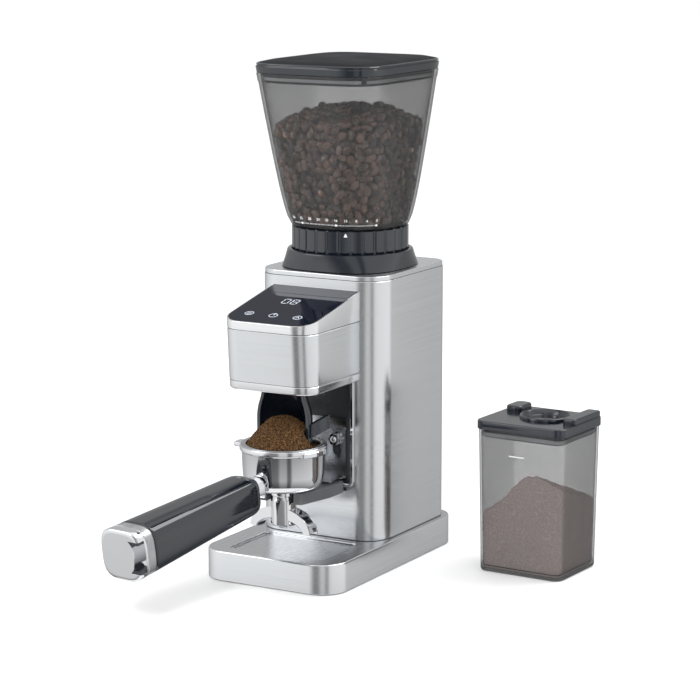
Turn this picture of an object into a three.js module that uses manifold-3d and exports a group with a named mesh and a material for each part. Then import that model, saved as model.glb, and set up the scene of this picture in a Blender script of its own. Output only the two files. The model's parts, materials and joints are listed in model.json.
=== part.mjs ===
// Burr coffee grinder with its docked portafilter and a separate grounds bin.
// Millimetres, +Z up, the front faces -Y. The origin is the centre of the underside.
import * as THREE from 'three';
import { mergeVertices } from 'three/addons/utils/BufferGeometryUtils.js';
import Module from 'manifold-3d';

const wasm = await Module();
wasm.setup();

// ---------------------------------------------------------------- driving dimensions

const GAP = 0.3;                 // between neighbouring pieces
const OVER = 5;                  // how far a cutting solid runs past what it cuts
const SHEET = 1.2;               // steel sheet
const FACETS = { corner: 3, small: 10, round: 20, fine: 28, loft: 32 };
const BURR_Y = 32.3;             // common axis of the burrs, grind ring and hopper
const MOTOR_Y = 62.3;            // motor axis, one gear centre distance behind the burrs

const BASE = { width: 128, depth: 217, radius: 22.6, bottom: 1, top: 25.5, wall: 1.5, edge: 1.4 };
const PAD = { height: 3, inset: 0.4 };
const COVER = { thickness: 3.5 };
const PASSAGE = { width: 96, depth: 104, radius: 8 };
const TRAY = { width: 86, depth: 63, radius: 5, y: -63, sink: 1.8, sheet: 1.2 };

const TOWER = {
  width: 118.4, front: -25.2, back: 99.4, frontRadius: 22.6, rearRadius: 15.7, bottom: 25.8, top: 243.1,
};
const TOWER_Y = (TOWER.front + TOWER.back) / 2;
const TOP_PLATE = { inset: 0.5, bottom: 243.4, top: 247.3, bore: 45.5 };
const REAR = { width: 90, bottom: 26.1, top: 242.8 };
const VENT = { count: 9, width: 52, height: 2.6, pitch: 5.2, lowest: 178 };
const REAR_SCREW = { x: 38, low: 34, high: 235, hole: 1.9, shank: 1.5, head: 3.2, length: 9, height: 1.8 };
const GLAND = { z: 40, hole: 5.4, bore: 3.2, outer: 5, tip: 4.8, flange: 8, inside: 8, outside: 7 };
const FRAME = { width: 112, depth: 118, radius: 18, thickness: 4.2, postX: 46, postY: [-6, 82], post: 5, boss: 5 };

const HEAD = {
  width: 83.1, front: -104.8, rear: -25.5, radius: 16.8, bottom: 161.1, lowSeam: 168.1, highSeam: 210.7,
  frontTop: 217.8, frontTopY: -109, slope: THREE.MathUtils.degToRad(11.7), wall: 1.5, floor: 2.5,
};
const HEAD_LEAN = (HEAD.front - HEAD.frontTopY) / (HEAD.frontTop - HEAD.bottom);

const PANEL = {
  trimWall: 4.5, rim: 1.3, glass: 2, boardWidth: 58, boardDepth: 52, boardFront: 18, boardBelow: 7.2,
};
const CHUTE = {
  width: 30, height: 22, wall: 2, startZ: 211, startGap: 2.8, outletY: -77, outletZ: 164,
  window: 34, windowLow: 172.1, windowHigh: 224.7,
};
const SHROUD = { y: -79, top: 160.7, bottom: 116.8, topRadius: 19, radius: 24.5, flareZ: 127, wall: 3.4 };
const SHROUD_ARM = { x: 22.4, width: 3.2, height: 11.4, front: -76, back: -46, rise: 3, bottom: 120.8 };

const DOCK = { halfWidth: 33.2, bottom: 71.4, top: 160.7, front: -25.4, depth: 6.9, wall: 2 };
const BEZEL = { inner: 33.4, outer: 36.4, bottom: 70.4, radius: 6, proud: 1.7 };
const SCREW = { x: 18, z: 110, shank: 2.4, length: 10, head: 5.4, headHeight: 4.5, lobes: 6 };
const PLATE = {
  halfWidth: 27, bottom: 76.3, step: 118, top: 127.3, back: -21.2, thick: 2.1, thin: 1.1, shelfHalf: 24, shelf: 1.5,
  shelfFront: -44,
};
const SLOT = { width: 5.8, bottom: 96.7, top: 115 };
const FORK = {
  top: 76, thickness: 10, halfWidth: 27.7, tipHalfWidth: 18.5, gap: 12.6, rear: -27.5, shoulder: -49.5, tip: -94,
};

const CHAMBER = {
  floor: 196, top: 257, outer: 44, inner: 40.4, floorThickness: 3, bore: 5.7, legs: 3, legRadius: 4, legReach: 34,
};
const CARRIER = { bottom: 226, top: 250, outer: 40, inner: 32.3, throat: 24, flange: 4 };
const UPPER_BURR = { bottom: 220, top: 245.4, outer: 32, wide: 27.6, narrow: 15.4 };
const LOWER_BURR = {
  bottom: 211, rim: 219, top: 243, wide: 25, narrow: 11, teeth: 9, toothDepth: 0.12, twist: 0.9,
};
const IMPELLER = { hub: 12, reach: 36, bottom: 201, top: 209, bladeTop: 207, blade: 3, blades: 3 };
const SPINDLE = { radius: 4.9, bottom: 155.8, top: 249 };
const NUT = { radius: 8, bottom: 243.4, top: 247 };
const GEAR = { module: 1, wheelTeeth: 48, pinionTeeth: 12, bottom: 160, height: 8, halfTooth: 0.62 };
const GEARBOX = { halfWidth: 52, front: -12, back: 88, radius: 8, bottom: 152, top: 172, wall: 3 };
const MOTOR = { radius: 27, bottom: 62, top: 148, edge: 2, boss: 8, bossHeight: 3, shaft: 2, shaftTop: 171 };
const BEARING = { outer: 10.7, inner: 5.25, height: 4.2, seatWall: 2.7 };
const POWER_BOARD = {
  x: -55.4, thickness: 1.6, front: 8, back: 74, bottom: 45, top: 125,
  parts: [
    { reach: 10, front: 16, back: 36, bottom: 52, top: 70 },
    { reach: 12, front: 44, back: 66, bottom: 80, top: 108 },
    { reach: 8, front: 14, back: 30, bottom: 86, top: 112 },
  ],
};

const COLLAR = { bottom: 247.6, top: 262, half: 52.5, power: 2.83, topRadius: 52.9, seat: 259 };
const RING = {
  radius: 48.9, bottom: 259.5, top: 281.5, inner: 44, floor: 3, throat: 36,
  grips: 30, groove: 0.9, grooveShare: 0.16,
};
const NECK = { outer: 43.4, inner: 41, bottom: 264 };
const GATE = {
  radius: 40.6, floorBottom: 272, gateBottom: 268, thickness: 3, hub: 4, spread: 40, inner: 9, outer: 34, knob: 7,
  knobTop: 284, knobHeight: 6,
};

const HOPPER = { bottom: 281.8, top: 410, wall: 2.2, round: 47.3, halfX: 58, halfY: 70.5, topY: 29.1, power: 5.3 };
const LID = {
  bottom: 410.3, shoulder: 416.6, edge: 418.6, top: 421.8, halfX: 58.7, halfY: 71.3, skirt: 8, skirtInset: 3.6,
  skirtWall: 2, sealLow: 6, sealHigh: 3.4, sealInset: 2.55, sealWidth: 0.75,
};

const CUP = {
  y: -78, bottom: 78.8, top: 114.6, flangeBottom: 110, flange: 35.8, outer: 34.2, inner: 31.8, floor: 3.4, drain: 5.5,
  groove: 33, grooveBottom: 104, grooveTop: 106,
};
const SPRING = { inner: 31.3, outer: 32.7, bottom: 104.3, top: 105.7 };
const EAR = { inner: 33.2, outer: 40, half: 20, bottom: 109.6, top: 113.2 };
const BASKET = { rim: 34.8, radius: 31, wall: 0.8, top: 115.7, bottom: 91.4 };
const SPOUT = {
  bore: 5, neckRadius: 8.6, collarRadius: 10, collarBottom: 74, neckTop: 78.4, neckBottom: 60, reach: 25, tip: 44,
  width: 11, wall: 1.6, well: 4.6,
};
const HANDLE = {
  yaw: THREE.MathUtils.degToRad(-8.8), drop: THREE.MathUtils.degToRad(8), rootZ: 88,
  bracketStart: 34, gripStart: 44, gripEnd: 176.6, ringEnd: 185.4, end: 195,
  startHalf: 15.8, half: 20.6, power: 3.6,
  notchRadius: 40, notchDepth: 10, notchHalf: 13, notchFloor: 2.5,
};

const BIN = {
  x: 164.7, y: 58.9, yaw: THREE.MathUtils.degToRad(-2.6), width: 76.7, depth: 68.5, radius: 8,
  height: 120.3, flare: 0.053, wall: 1.8, floor: 2.6,
};
const BIN_LID = {
  width: 83, depth: 74.1, radius: 9, thickness: 7.4, ring: 21, ringHeight: 2.6, hole: 13, railHeight: 4.6,
  skirt: 7, skirtInset: 3.4, skirtWall: 1.8, dishRadius: 15, dishRim: 18.5, dishDepth: 3,
};
const BIN_SEAL = { low: 5.5, high: 2.5, inset: 2.15, width: 0.95 };

// ---------------------------------------------------------------- materials

function finish(color, roughness, metalness, opacity = 1) {
  const transparent = opacity < 1;
  return () => new THREE.MeshStandardMaterial({ color, roughness, metalness, transparent, opacity });
}

const brushedSteel = finish(0xc4c6c8, 0.35, 1);
const satinTrim = finish(0xd0d2d4, 0.4, 0.9);
const chrome = finish(0xe2e4e6, 0.08, 1);
const blackPlastic = finish(0x26282b, 0.45, 0);
const glossBlack = finish(0x121314, 0.12, 0);
const greyPlastic = finish(0x4a4d50, 0.6, 0);
const smokyClear = finish(0x55585a, 0.08, 0, 0.4);
const rubber = finish(0x1b1b1c, 0.9, 0);
const silicone = finish(0x8d9092, 0.7, 0);
const aluminium = finish(0xa9acae, 0.5, 1);
const hardSteel = finish(0x8b8f93, 0.3, 1);
const brass = finish(0xb08d4a, 0.35, 1);
const boardGreen = finish(0x1f5b3a, 0.6, 0);

// ---------------------------------------------------------------- solids and geometry

function toSolid(geometry) {
  const bare = geometry.clone();
  bare.deleteAttribute('normal');
  bare.deleteAttribute('uv');
  const merged = geometry.userData.merged ? bare : mergeVertices(bare, 1e-4);
  const corners = merged.index.array;
  const kept = [];
  for (let i = 0; i < corners.length; i += 3) {
    const [a, b, c] = [corners[i], corners[i + 1], corners[i + 2]];
    if (a !== b && b !== c && c !== a) {
      kept.push(a, b, c);
    }
  }
  const vertProperties = Float32Array.from(merged.attributes.position.array);
  const mesh = new wasm.Mesh({ numProp: 3, vertProperties, triVerts: Uint32Array.from(kept) });
  return new wasm.Manifold(mesh);
}

function toGeometry(solid) {
  const mesh = solid.getMesh();
  const geometry = new THREE.BufferGeometry();
  geometry.setAttribute('position', new THREE.BufferAttribute(mesh.vertProperties, 3));
  geometry.setIndex(new THREE.BufferAttribute(mesh.triVerts, 1));
  geometry.userData.merged = true;
  return geometry;
}

function join(...geometries) {
  return toGeometry(geometries.map(toSolid).reduce((sum, solid) => sum.add(solid)));
}

function cut(geometry, ...tools) {
  return toGeometry(tools.map(toSolid).reduce((rest, tool) => rest.subtract(tool), toSolid(geometry)));
}

function overlap(first, second) {
  return toGeometry(toSolid(first).intersect(toSolid(second)));
}

// A revolved form turned inside out is put right by reversing its triangles.
function facingOut(geometry) {
  const { array } = geometry.attributes.position;
  const index = geometry.index.array;
  const at = (i) => new THREE.Vector3(array[3 * i], array[3 * i + 1], array[3 * i + 2]);
  let volume = 0;
  for (let i = 0; i < index.length; i += 3) {
    volume += at(index[i]).dot(at(index[i + 1]).cross(at(index[i + 2])));
  }
  if (volume < 0) {
    for (let i = 0; i < index.length; i += 3) {
      [index[i], index[i + 1]] = [index[i + 1], index[i]];
    }
  }
  return geometry;
}

function roundedRect(width, depth, radius, x = 0, y = 0) {
  const [right, back] = [width / 2 - radius, depth / 2 - radius];
  const shape = new THREE.Shape();
  shape.absarc(x + right, y - back, radius, -Math.PI / 2, 0, false);
  shape.absarc(x + right, y + back, radius, 0, Math.PI / 2, false);
  shape.absarc(x - right, y + back, radius, Math.PI / 2, Math.PI, false);
  shape.absarc(x - right, y - back, radius, Math.PI, 1.5 * Math.PI, false);
  shape.closePath();
  return shape;
}

function slab(shape, bottom, top, curveSegments = FACETS.corner) {
  const geometry = new THREE.ExtrudeGeometry(shape, { depth: top - bottom, bevelEnabled: false, curveSegments });
  return geometry.translate(0, 0, bottom);
}

// A slab drawn in X and Z that is given its thickness along Y.
function slabAlongY(shape, front, back, curveSegments = FACETS.corner) {
  return slab(shape, 0, back - front, curveSegments).rotateX(Math.PI / 2).translate(0, back, 0);
}

function block(x0, x1, y0, y1, z0, z1) {
  const geometry = new THREE.BoxGeometry(x1 - x0, y1 - y0, z1 - z0);
  return geometry.translate((x0 + x1) / 2, (y0 + y1) / 2, (z0 + z1) / 2);
}

function revolve(profile, y = 0, segments = FACETS.round) {
  const points = profile.map(([radius, height]) => new THREE.Vector2(radius, height));
  const geometry = new THREE.LatheGeometry(points, segments).rotateX(Math.PI / 2);
  return facingOut(geometry).translate(0, y, 0);
}

function disc(radius, bottom, top, y = 0, segments = FACETS.round) {
  return revolve([[0, bottom], [radius, bottom], [radius, top], [0, top]], y, segments);
}

function ring(inner, outer, bottom, top, y = 0, segments = FACETS.round) {
  return revolve([[inner, bottom], [outer, bottom], [outer, top], [inner, top], [inner, bottom]], y, segments);
}

// A solid through superellipse sections: each has z, halfX, halfY, power and y.
function loft(sections, segments = FACETS.loft) {
  const [first, last] = [sections[0], sections[sections.length - 1]];
  const heights = sections.map(({ z }) => new THREE.Vector2(1, z));
  const profile = [new THREE.Vector2(0, first.z), ...heights, new THREE.Vector2(0, last.z)];
  const geometry = new THREE.LatheGeometry(profile, segments).rotateX(Math.PI / 2);
  const position = geometry.attributes.position;
  for (let i = 0; i < position.count; i += 1) {
    const place = THREE.MathUtils.clamp((i % profile.length) - 1, 0, sections.length - 1);
    const { halfX, halfY = halfX, power = 2, y = 0 } = sections[place];
    const [x0, y0] = [position.getX(i), position.getY(i)];
    const reach = (Math.abs(x0) / halfX) ** power + (Math.abs(y0) / halfY) ** power;
    const scale = Math.hypot(x0, y0) > 0.5 ? reach ** (-1 / power) : 0;
    position.setXY(i, x0 * scale, y + y0 * scale);
  }
  return facingOut(geometry);
}

const group = new THREE.Group();

function add(name, geometry, material, parent = group) {
  const mesh = new THREE.Mesh(geometry, material());
  mesh.name = name;
  parent.add(mesh);
}

// ---------------------------------------------------------------- base

function insetBase(inset) {
  return roundedRect(BASE.width - 2 * inset, BASE.depth - 2 * inset, BASE.radius - inset);
}

function trayOutline(margin) {
  return roundedRect(TRAY.width + 2 * margin, TRAY.depth + 2 * margin, TRAY.radius + margin, 0, TRAY.y);
}

function baseShell() {
  const options = {
    depth: BASE.top - BASE.bottom, bevelSize: BASE.edge, bevelThickness: BASE.edge, bevelSegments: 1,
    curveSegments: FACETS.corner,
  };
  const body = new THREE.ExtrudeGeometry(insetBase(BASE.edge), options).translate(0, 0, BASE.bottom - BASE.edge);
  const below = block(-BASE.width, BASE.width, -BASE.depth, BASE.depth, -OVER, BASE.bottom);
  const cavity = slab(insetBase(BASE.wall), -OVER, BASE.top - BASE.wall);
  const panFloor = BASE.top - TRAY.sink;
  const pan = slab(trayOutline(TRAY.sheet), panFloor - TRAY.sheet, BASE.top + OVER);
  const recess = slab(trayOutline(0), panFloor, BASE.top + OVER);
  const { width, depth, radius } = PASSAGE;
  const passage = slab(roundedRect(width, depth, radius, 0, TOWER_Y), BASE.top / 2, BASE.top + OVER);
  return cut(body, below, cut(cavity, pan), recess, passage);
}

function addBase() {
  const inset = BASE.wall + PAD.inset;
  const coverBottom = PAD.height + GAP;
  add('foot_pad', slab(insetBase(inset), 0, PAD.height), rubber);
  add('base_cover', slab(insetBase(inset), coverBottom, coverBottom + COVER.thickness), blackPlastic);
  add('base_shell', baseShell(), brushedSteel);
}

// ---------------------------------------------------------------- tower

function insetTower(inset) {
  const [half, front, back] = [TOWER.width / 2 - inset, TOWER.front + inset, TOWER.back - inset];
  const [near, far] = [TOWER.frontRadius - inset, TOWER.rearRadius - inset];
  const shape = new THREE.Shape();
  shape.absarc(half - near, front + near, near, -Math.PI / 2, 0, false);
  shape.absarc(half - far, back - far, far, 0, Math.PI / 2, false);
  shape.absarc(far - half, back - far, far, Math.PI / 2, Math.PI, false);
  shape.absarc(near - half, front + near, near, Math.PI, 1.5 * Math.PI, false);
  shape.closePath();
  return shape;
}

function towerShell() {
  const wrap = slab(insetTower(0), TOWER.bottom, TOWER.top);
  const inside = slab(insetTower(SHEET), TOWER.bottom - OVER, TOWER.top + OVER);
  const half = REAR.width / 2 + GAP;
  const [low, high] = [TOWER.bottom - OVER, TOWER.top + OVER];
  const backWindow = block(-half, half, TOWER.back - OVER, TOWER.back + OVER, low, high);
  const throughFront = [TOWER.front - OVER, TOWER.front + OVER];
  const dockHalf = DOCK.halfWidth + GAP;
  const dockWindow = block(-dockHalf, dockHalf, ...throughFront, DOCK.bottom - GAP, DOCK.top + GAP);
  const chuteWindow = block(-CHUTE.window, CHUTE.window, ...throughFront, CHUTE.windowLow, CHUTE.windowHigh);
  return cut(wrap, inside, backWindow, dockWindow, chuteWindow);
}

function rearScrewPlaces() {
  const { x, low, high } = REAR_SCREW;
  return [[-x, low], [x, low], [-x, high], [x, high]];
}

function rearHole(radius, x, z) {
  const hole = disc(radius, -2 * OVER, 2 * OVER, 0, FACETS.small);
  return hole.rotateX(Math.PI / 2).translate(x, TOWER.back, z);
}

function rearCover() {
  const half = REAR.width / 2;
  const panel = block(-half, half, TOWER.back - SHEET, TOWER.back, REAR.bottom, REAR.top);
  const cuts = [rearHole(GLAND.hole, 0, GLAND.z)];
  const side = VENT.width / 2;
  for (let i = 0; i < VENT.count; i += 1) {
    const z = VENT.lowest + i * VENT.pitch;
    cuts.push(block(-side, side, TOWER.back - OVER, TOWER.back + OVER, z, z + VENT.height));
  }
  for (const [x, z] of rearScrewPlaces()) {
    cuts.push(rearHole(REAR_SCREW.hole, x, z));
  }
  return cut(panel, ...cuts);
}

function addRearScrews() {
  const { shank, head, length, height } = REAR_SCREW;
  const profile = [
    [0, -length], [shank, -length], [shank, GAP], [head, GAP], [head, height - 0.6], [head - 0.8, height],
    [0, height],
  ];
  rearScrewPlaces().forEach(([x, z], i) => {
    const screw = revolve(profile, 0, FACETS.small).rotateX(-Math.PI / 2).translate(x, TOWER.back, z);
    add(`rear_screw_${i + 1}`, screw, hardSteel);
  });
}

function cordGland() {
  const { bore, outer, tip, flange, inside, outside } = GLAND;
  const profile = [
    [bore, -inside], [outer, -inside], [outer, GAP], [flange, GAP], [flange - 0.6, 3], [tip, outside],
    [bore, outside], [bore, -inside],
  ];
  return revolve(profile, 0, FACETS.small).rotateX(-Math.PI / 2).translate(0, TOWER.back, GLAND.z);
}

function topPlate() {
  const { inset, bottom, top, bore } = TOP_PLATE;
  return cut(slab(insetTower(inset), bottom, top), disc(bore, bottom - OVER, top + OVER, BURR_Y, FACETS.fine));
}

// The frame stands inside the tower on four bosses and carries the gearbox on four posts.
function chassis() {
  const { width, depth, radius, thickness, postX, postY, post, boss } = FRAME;
  const floorBottom = TOWER.bottom + GAP;
  const inFloor = floorBottom + thickness / 2;
  const bossFoot = PAD.height + COVER.thickness + 2 * GAP;
  const bossX = postX - boss - 1;
  const pieces = [slab(roundedRect(width, depth, radius, 0, TOWER_Y), floorBottom, floorBottom + thickness)];
  for (const side of [-1, 1]) {
    for (const y of postY) {
      const x = side * postX;
      const bossY = y + Math.sign(TOWER_Y - y) * boss;
      pieces.push(block(x - post, x + post, y - post, y + post, inFloor, GEARBOX.bottom - GAP));
      pieces.push(disc(boss, bossFoot, inFloor, 0, FACETS.small).translate(side * bossX, bossY, 0));
    }
  }
  return join(...pieces);
}

function addTower() {
  add('tower_shell', towerShell(), brushedSteel);
  add('rear_cover', rearCover(), brushedSteel);
  addRearScrews();
  add('cord_gland', cordGland(), rubber);
  add('top_plate', topPlate(), brushedSteel);
  add('chassis', chassis(), greyPlastic);
}

// ---------------------------------------------------------------- head

function headPlan(inset, rear = HEAD.rear) {
  const half = HEAD.width / 2 - inset;
  const radius = HEAD.radius - inset;
  const front = HEAD.front + inset + radius;
  const shape = new THREE.Shape();
  shape.moveTo(half, rear);
  shape.lineTo(-half, rear);
  shape.absarc(-half + radius, front, radius, Math.PI, 1.5 * Math.PI, false);
  shape.absarc(half - radius, front, radius, 1.5 * Math.PI, 2 * Math.PI, false);
  shape.closePath();
  return shape;
}

// The head's front leans out as it rises, and its rear edge stays upright.
function lean(geometry) {
  const position = geometry.attributes.position;
  for (let i = 0; i < position.count; i += 1) {
    const y = position.getY(i);
    const forward = THREE.MathUtils.clamp((HEAD.rear - y) / (HEAD.rear - HEAD.front), 0, 1);
    position.setY(i, y - HEAD_LEAN * (position.getZ(i) - HEAD.bottom) * forward);
  }
  return geometry;
}

function headBlock(inset, bottom, top, rear = HEAD.rear) {
  return lean(slab(headPlan(inset, rear), bottom, top, 6));
}

// A slab lying on the sloped control surface, between two depths below it.
function slopedSlab(upper, lower) {
  const geometry = new THREE.BoxGeometry(200, 300, lower - upper).translate(0, 0, -(upper + lower) / 2);
  return geometry.rotateX(HEAD.slope).translate(0, HEAD.frontTopY, HEAD.frontTop);
}

function headBottomTrim() {
  const body = headBlock(0, HEAD.bottom, HEAD.lowSeam - GAP / 2);
  const pocket = headBlock(HEAD.wall, HEAD.bottom + HEAD.floor, HEAD.lowSeam + OVER);
  const half = CHUTE.width / 2 + GAP;
  const deep = CHUTE.height / 2 + GAP;
  const [front, back] = [CHUTE.outletY - deep, CHUTE.outletY + deep];
  return cut(body, pocket, block(-half, half, front, back, HEAD.bottom - OVER, HEAD.lowSeam + OVER));
}

function headShell() {
  const body = headBlock(0, HEAD.lowSeam + GAP / 2, HEAD.highSeam - GAP / 2);
  const inside = headBlock(HEAD.wall, HEAD.lowSeam - OVER, HEAD.highSeam + OVER, HEAD.rear + OVER);
  return cut(body, inside);
}

// The trim is cut off along the slope, and a step inside its rim takes the glass.
function headTopTrim() {
  const above = slopedSlab(-HEAD.width, 0);
  const seat = slopedSlab(-HEAD.width, PANEL.glass + GAP);
  const rear = HEAD.rear + OVER;
  const body = cut(headBlock(0, HEAD.highSeam + GAP / 2, TOWER.top), above);
  const inside = headBlock(PANEL.trimWall, HEAD.highSeam - OVER, TOWER.top + OVER, rear);
  return cut(body, inside, overlap(headBlock(PANEL.rim, HEAD.lowSeam, TOWER.top + OVER, rear), seat));
}

function controlGlass() {
  return overlap(headBlock(PANEL.rim + GAP, HEAD.lowSeam, TOWER.top + OVER), slopedSlab(0, PANEL.glass));
}

function displayBoard() {
  const { boardWidth, boardDepth, boardFront, boardBelow } = PANEL;
  const board = new THREE.BoxGeometry(boardWidth, boardDepth, 1.6);
  board.translate(0, boardFront + boardDepth / 2, -boardBelow - 0.8);
  return board.rotateX(HEAD.slope).translate(0, HEAD.frontTopY, HEAD.frontTop);
}

// The chute runs forward from the burr chamber and turns down to the outlet.
function groundsChute() {
  const outer = roundedRect(CHUTE.width, CHUTE.height, CHUTE.wall);
  outer.holes.push(roundedRect(CHUTE.width - 2 * CHUTE.wall, CHUTE.height - 2 * CHUTE.wall, CHUTE.wall / 2));
  const start = BURR_Y - CHAMBER.outer - CHUTE.startGap;
  const corner = new THREE.Vector3(0, CHUTE.outletY, CHUTE.startZ - 12);
  const extrudePath = new THREE.CurvePath();
  extrudePath.add(new THREE.QuadraticBezierCurve3(
    new THREE.Vector3(0, start, CHUTE.startZ),
    corner,
    new THREE.Vector3(0, CHUTE.outletY, CHUTE.outletZ),
  ));
  return new THREE.ExtrudeGeometry(outer, { steps: 9, extrudePath, curveSegments: 1 });
}

function addHead() {
  add('head_bottom_trim', headBottomTrim(), satinTrim);
  add('head_shell', headShell(), brushedSteel);
  add('head_top_trim', headTopTrim(), satinTrim);
  add('control_glass', controlGlass(), glossBlack);
  add('display_board', displayBoard(), boardGreen);
  add('grounds_chute', groundsChute(), blackPlastic);
}

// ---------------------------------------------------------------- dock and shroud

function dispensingShroud() {
  const { top, bottom, topRadius, radius, flareZ, wall } = SHROUD;
  const profile = [
    [radius, bottom], [radius, flareZ], [topRadius, top], [topRadius - wall, top],
    [radius - wall, flareZ], [radius - wall, bottom], [radius, bottom],
  ];
  const frontHalf = block(-2 * radius, 2 * radius, SHROUD.y - 2 * radius, SHROUD.y, bottom - OVER, top + OVER);
  const pieces = [cut(revolve(profile, SHROUD.y, FACETS.fine), frontHalf)];
  const { x, width, height, front, back, rise } = SHROUD_ARM;
  const side = new THREE.Shape();
  side.moveTo(front, SHROUD_ARM.bottom);
  side.lineTo(back, SHROUD_ARM.bottom + rise);
  side.lineTo(back, SHROUD_ARM.bottom + rise + height);
  side.lineTo(front, SHROUD_ARM.bottom + height);
  side.closePath();
  for (const inner of [x, -x - width]) {
    pieces.push(slab(side, 0, width).rotateX(Math.PI / 2).rotateZ(Math.PI / 2).translate(inner, 0, 0));
  }
  return join(...pieces);
}

function dockLiner() {
  const { halfWidth, bottom, top, front, depth, wall } = DOCK;
  const box = block(-halfWidth, halfWidth, front, front + depth, bottom, top);
  const inside = block(
    -halfWidth + wall, halfWidth - wall, front - OVER, front + depth - wall, bottom + wall, top - wall,
  );
  const holes = [-SCREW.x, SCREW.x].map((x) => (
    disc(SCREW.shank + GAP, -20, 20, 0, FACETS.small).rotateX(Math.PI / 2).translate(x, front, SCREW.z)
  ));
  return cut(box, inside, ...holes);
}

function bezelOutline(half, bottom, top, radius) {
  const shape = new THREE.Shape();
  shape.moveTo(half, top);
  shape.lineTo(-half, top);
  shape.absarc(-half + radius, bottom + radius, radius, Math.PI, 1.5 * Math.PI, false);
  shape.absarc(half - radius, bottom + radius, radius, 1.5 * Math.PI, 2 * Math.PI, false);
  shape.closePath();
  return shape;
}

function dockBezel() {
  const rear = TOWER.front - GAP;
  const rim = BEZEL.outer - BEZEL.inner;
  const frame = bezelOutline(BEZEL.outer, BEZEL.bottom, DOCK.top, BEZEL.radius);
  const opening = bezelOutline(BEZEL.inner, BEZEL.bottom + rim, DOCK.top + OVER, BEZEL.radius - rim);
  return cut(
    slabAlongY(frame, rear - BEZEL.proud, rear),
    slabAlongY(opening, rear - BEZEL.proud - OVER, rear + OVER),
  );
}

function addDock() {
  add('dispensing_shroud', dispensingShroud(), blackPlastic);
  add('dock_liner', dockLiner(), glossBlack);
  add('dock_bezel', dockBezel(), brushedSteel);
}

// ---------------------------------------------------------------- portafilter fork

function forkPlate() {
  const { halfWidth, bottom, step, top, back, thick, thin, shelfHalf, shelf, shelfFront } = PLATE;
  const pieces = [
    block(-halfWidth, halfWidth, back - thick, back, bottom, step),
    block(-halfWidth, halfWidth, back - thin, back, step - 1, top),
    block(-shelfHalf, shelfHalf, shelfFront, back, bottom, bottom + shelf),
  ];
  const slots = [-SCREW.x, SCREW.x].map((x) => {
    const height = SLOT.top - SLOT.bottom;
    const shape = roundedRect(SLOT.width, height, SLOT.width / 2 - 0.01, x, (SLOT.top + SLOT.bottom) / 2);
    return slabAlongY(shape, back - OVER, back + OVER, 2 * FACETS.corner);
  });
  return cut(join(...pieces), ...slots);
}

function fork() {
  const { top, thickness, halfWidth, tipHalfWidth, gap, rear, shoulder, tip } = FORK;
  const shape = new THREE.Shape();
  shape.moveTo(-halfWidth, rear);
  shape.lineTo(-halfWidth, shoulder);
  shape.lineTo(-tipHalfWidth, tip + 2);
  shape.lineTo(-tipHalfWidth + 2, tip);
  shape.lineTo(-gap, tip);
  shape.absarc(0, CUP.y, gap, Math.PI, 0, true);
  shape.lineTo(gap, tip);
  shape.lineTo(tipHalfWidth - 2, tip);
  shape.lineTo(tipHalfWidth, tip + 2);
  shape.lineTo(halfWidth, shoulder);
  shape.lineTo(halfWidth, rear);
  shape.closePath();
  return slab(shape, top - thickness, top, FACETS.small);
}

function lobedHead() {
  const shape = new THREE.Shape();
  const points = [];
  for (let i = 0; i < SCREW.lobes * 4; i += 1) {
    const angle = (i / (SCREW.lobes * 4)) * 2 * Math.PI;
    const radius = SCREW.head * (0.93 + 0.07 * Math.cos(SCREW.lobes * angle));
    points.push(new THREE.Vector2(radius * Math.cos(angle), radius * Math.sin(angle)));
  }
  shape.setFromPoints(points);
  return shape;
}

function heightScrew(x) {
  const headBack = PLATE.back - PLATE.thick - 0.5;
  const head = slabAlongY(lobedHead(), headBack - SCREW.headHeight, headBack);
  const shank = disc(SCREW.shank, 0, SCREW.length, 0, FACETS.small).rotateX(-Math.PI / 2);
  return join(head, shank.translate(0, headBack - 1, 0)).translate(x, 0, SCREW.z);
}

function addFork() {
  add('fork_plate', forkPlate(), chrome);
  add('fork', fork(), blackPlastic);
  add('height_screw_left', heightScrew(-SCREW.x), chrome);
  add('height_screw_right', heightScrew(SCREW.x), chrome);
}

// ---------------------------------------------------------------- grinding mechanism

function burrChamber() {
  const { floor, top, outer, inner, floorThickness, bore, legs, legRadius, legReach } = CHAMBER;
  const profile = [
    [bore, floor], [outer, floor], [outer, top], [inner, top],
    [inner, floor + floorThickness], [bore, floor + floorThickness], [bore, floor],
  ];
  const half = CHUTE.width / 2 - CHUTE.wall;
  const low = CHUTE.startZ - CHUTE.height / 2 + CHUTE.wall;
  const high = CHUTE.startZ + CHUTE.height / 2 - CHUTE.wall;
  const outlet = block(-half, half, BURR_Y - outer - OVER, BURR_Y - inner + 2 * OVER, low, high);
  const pieces = [cut(revolve(profile, BURR_Y, FACETS.fine), outlet)];
  for (let i = 0; i < legs; i += 1) {
    const angle = (i / legs) * 2 * Math.PI + Math.PI / 2;
    const leg = disc(legRadius, GEARBOX.top + GEARBOX.wall + 2 * GAP, floor + 1, 0, FACETS.small);
    pieces.push(leg.translate(legReach * Math.cos(angle), BURR_Y + legReach * Math.sin(angle), 0));
  }
  return join(...pieces);
}

function burrCarrier() {
  const { bottom, top, outer, inner, throat, flange } = CARRIER;
  return revolve([
    [inner, bottom], [outer, bottom], [outer, top], [throat, top],
    [throat, top - flange], [inner, top - flange], [inner, bottom],
  ], BURR_Y, FACETS.fine);
}

function upperBurr() {
  const { bottom, top, outer, wide, narrow } = UPPER_BURR;
  const profile = [[wide, bottom], [outer, bottom], [outer, top], [narrow, top], [wide, bottom]];
  return revolve(profile, BURR_Y, FACETS.fine);
}

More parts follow.
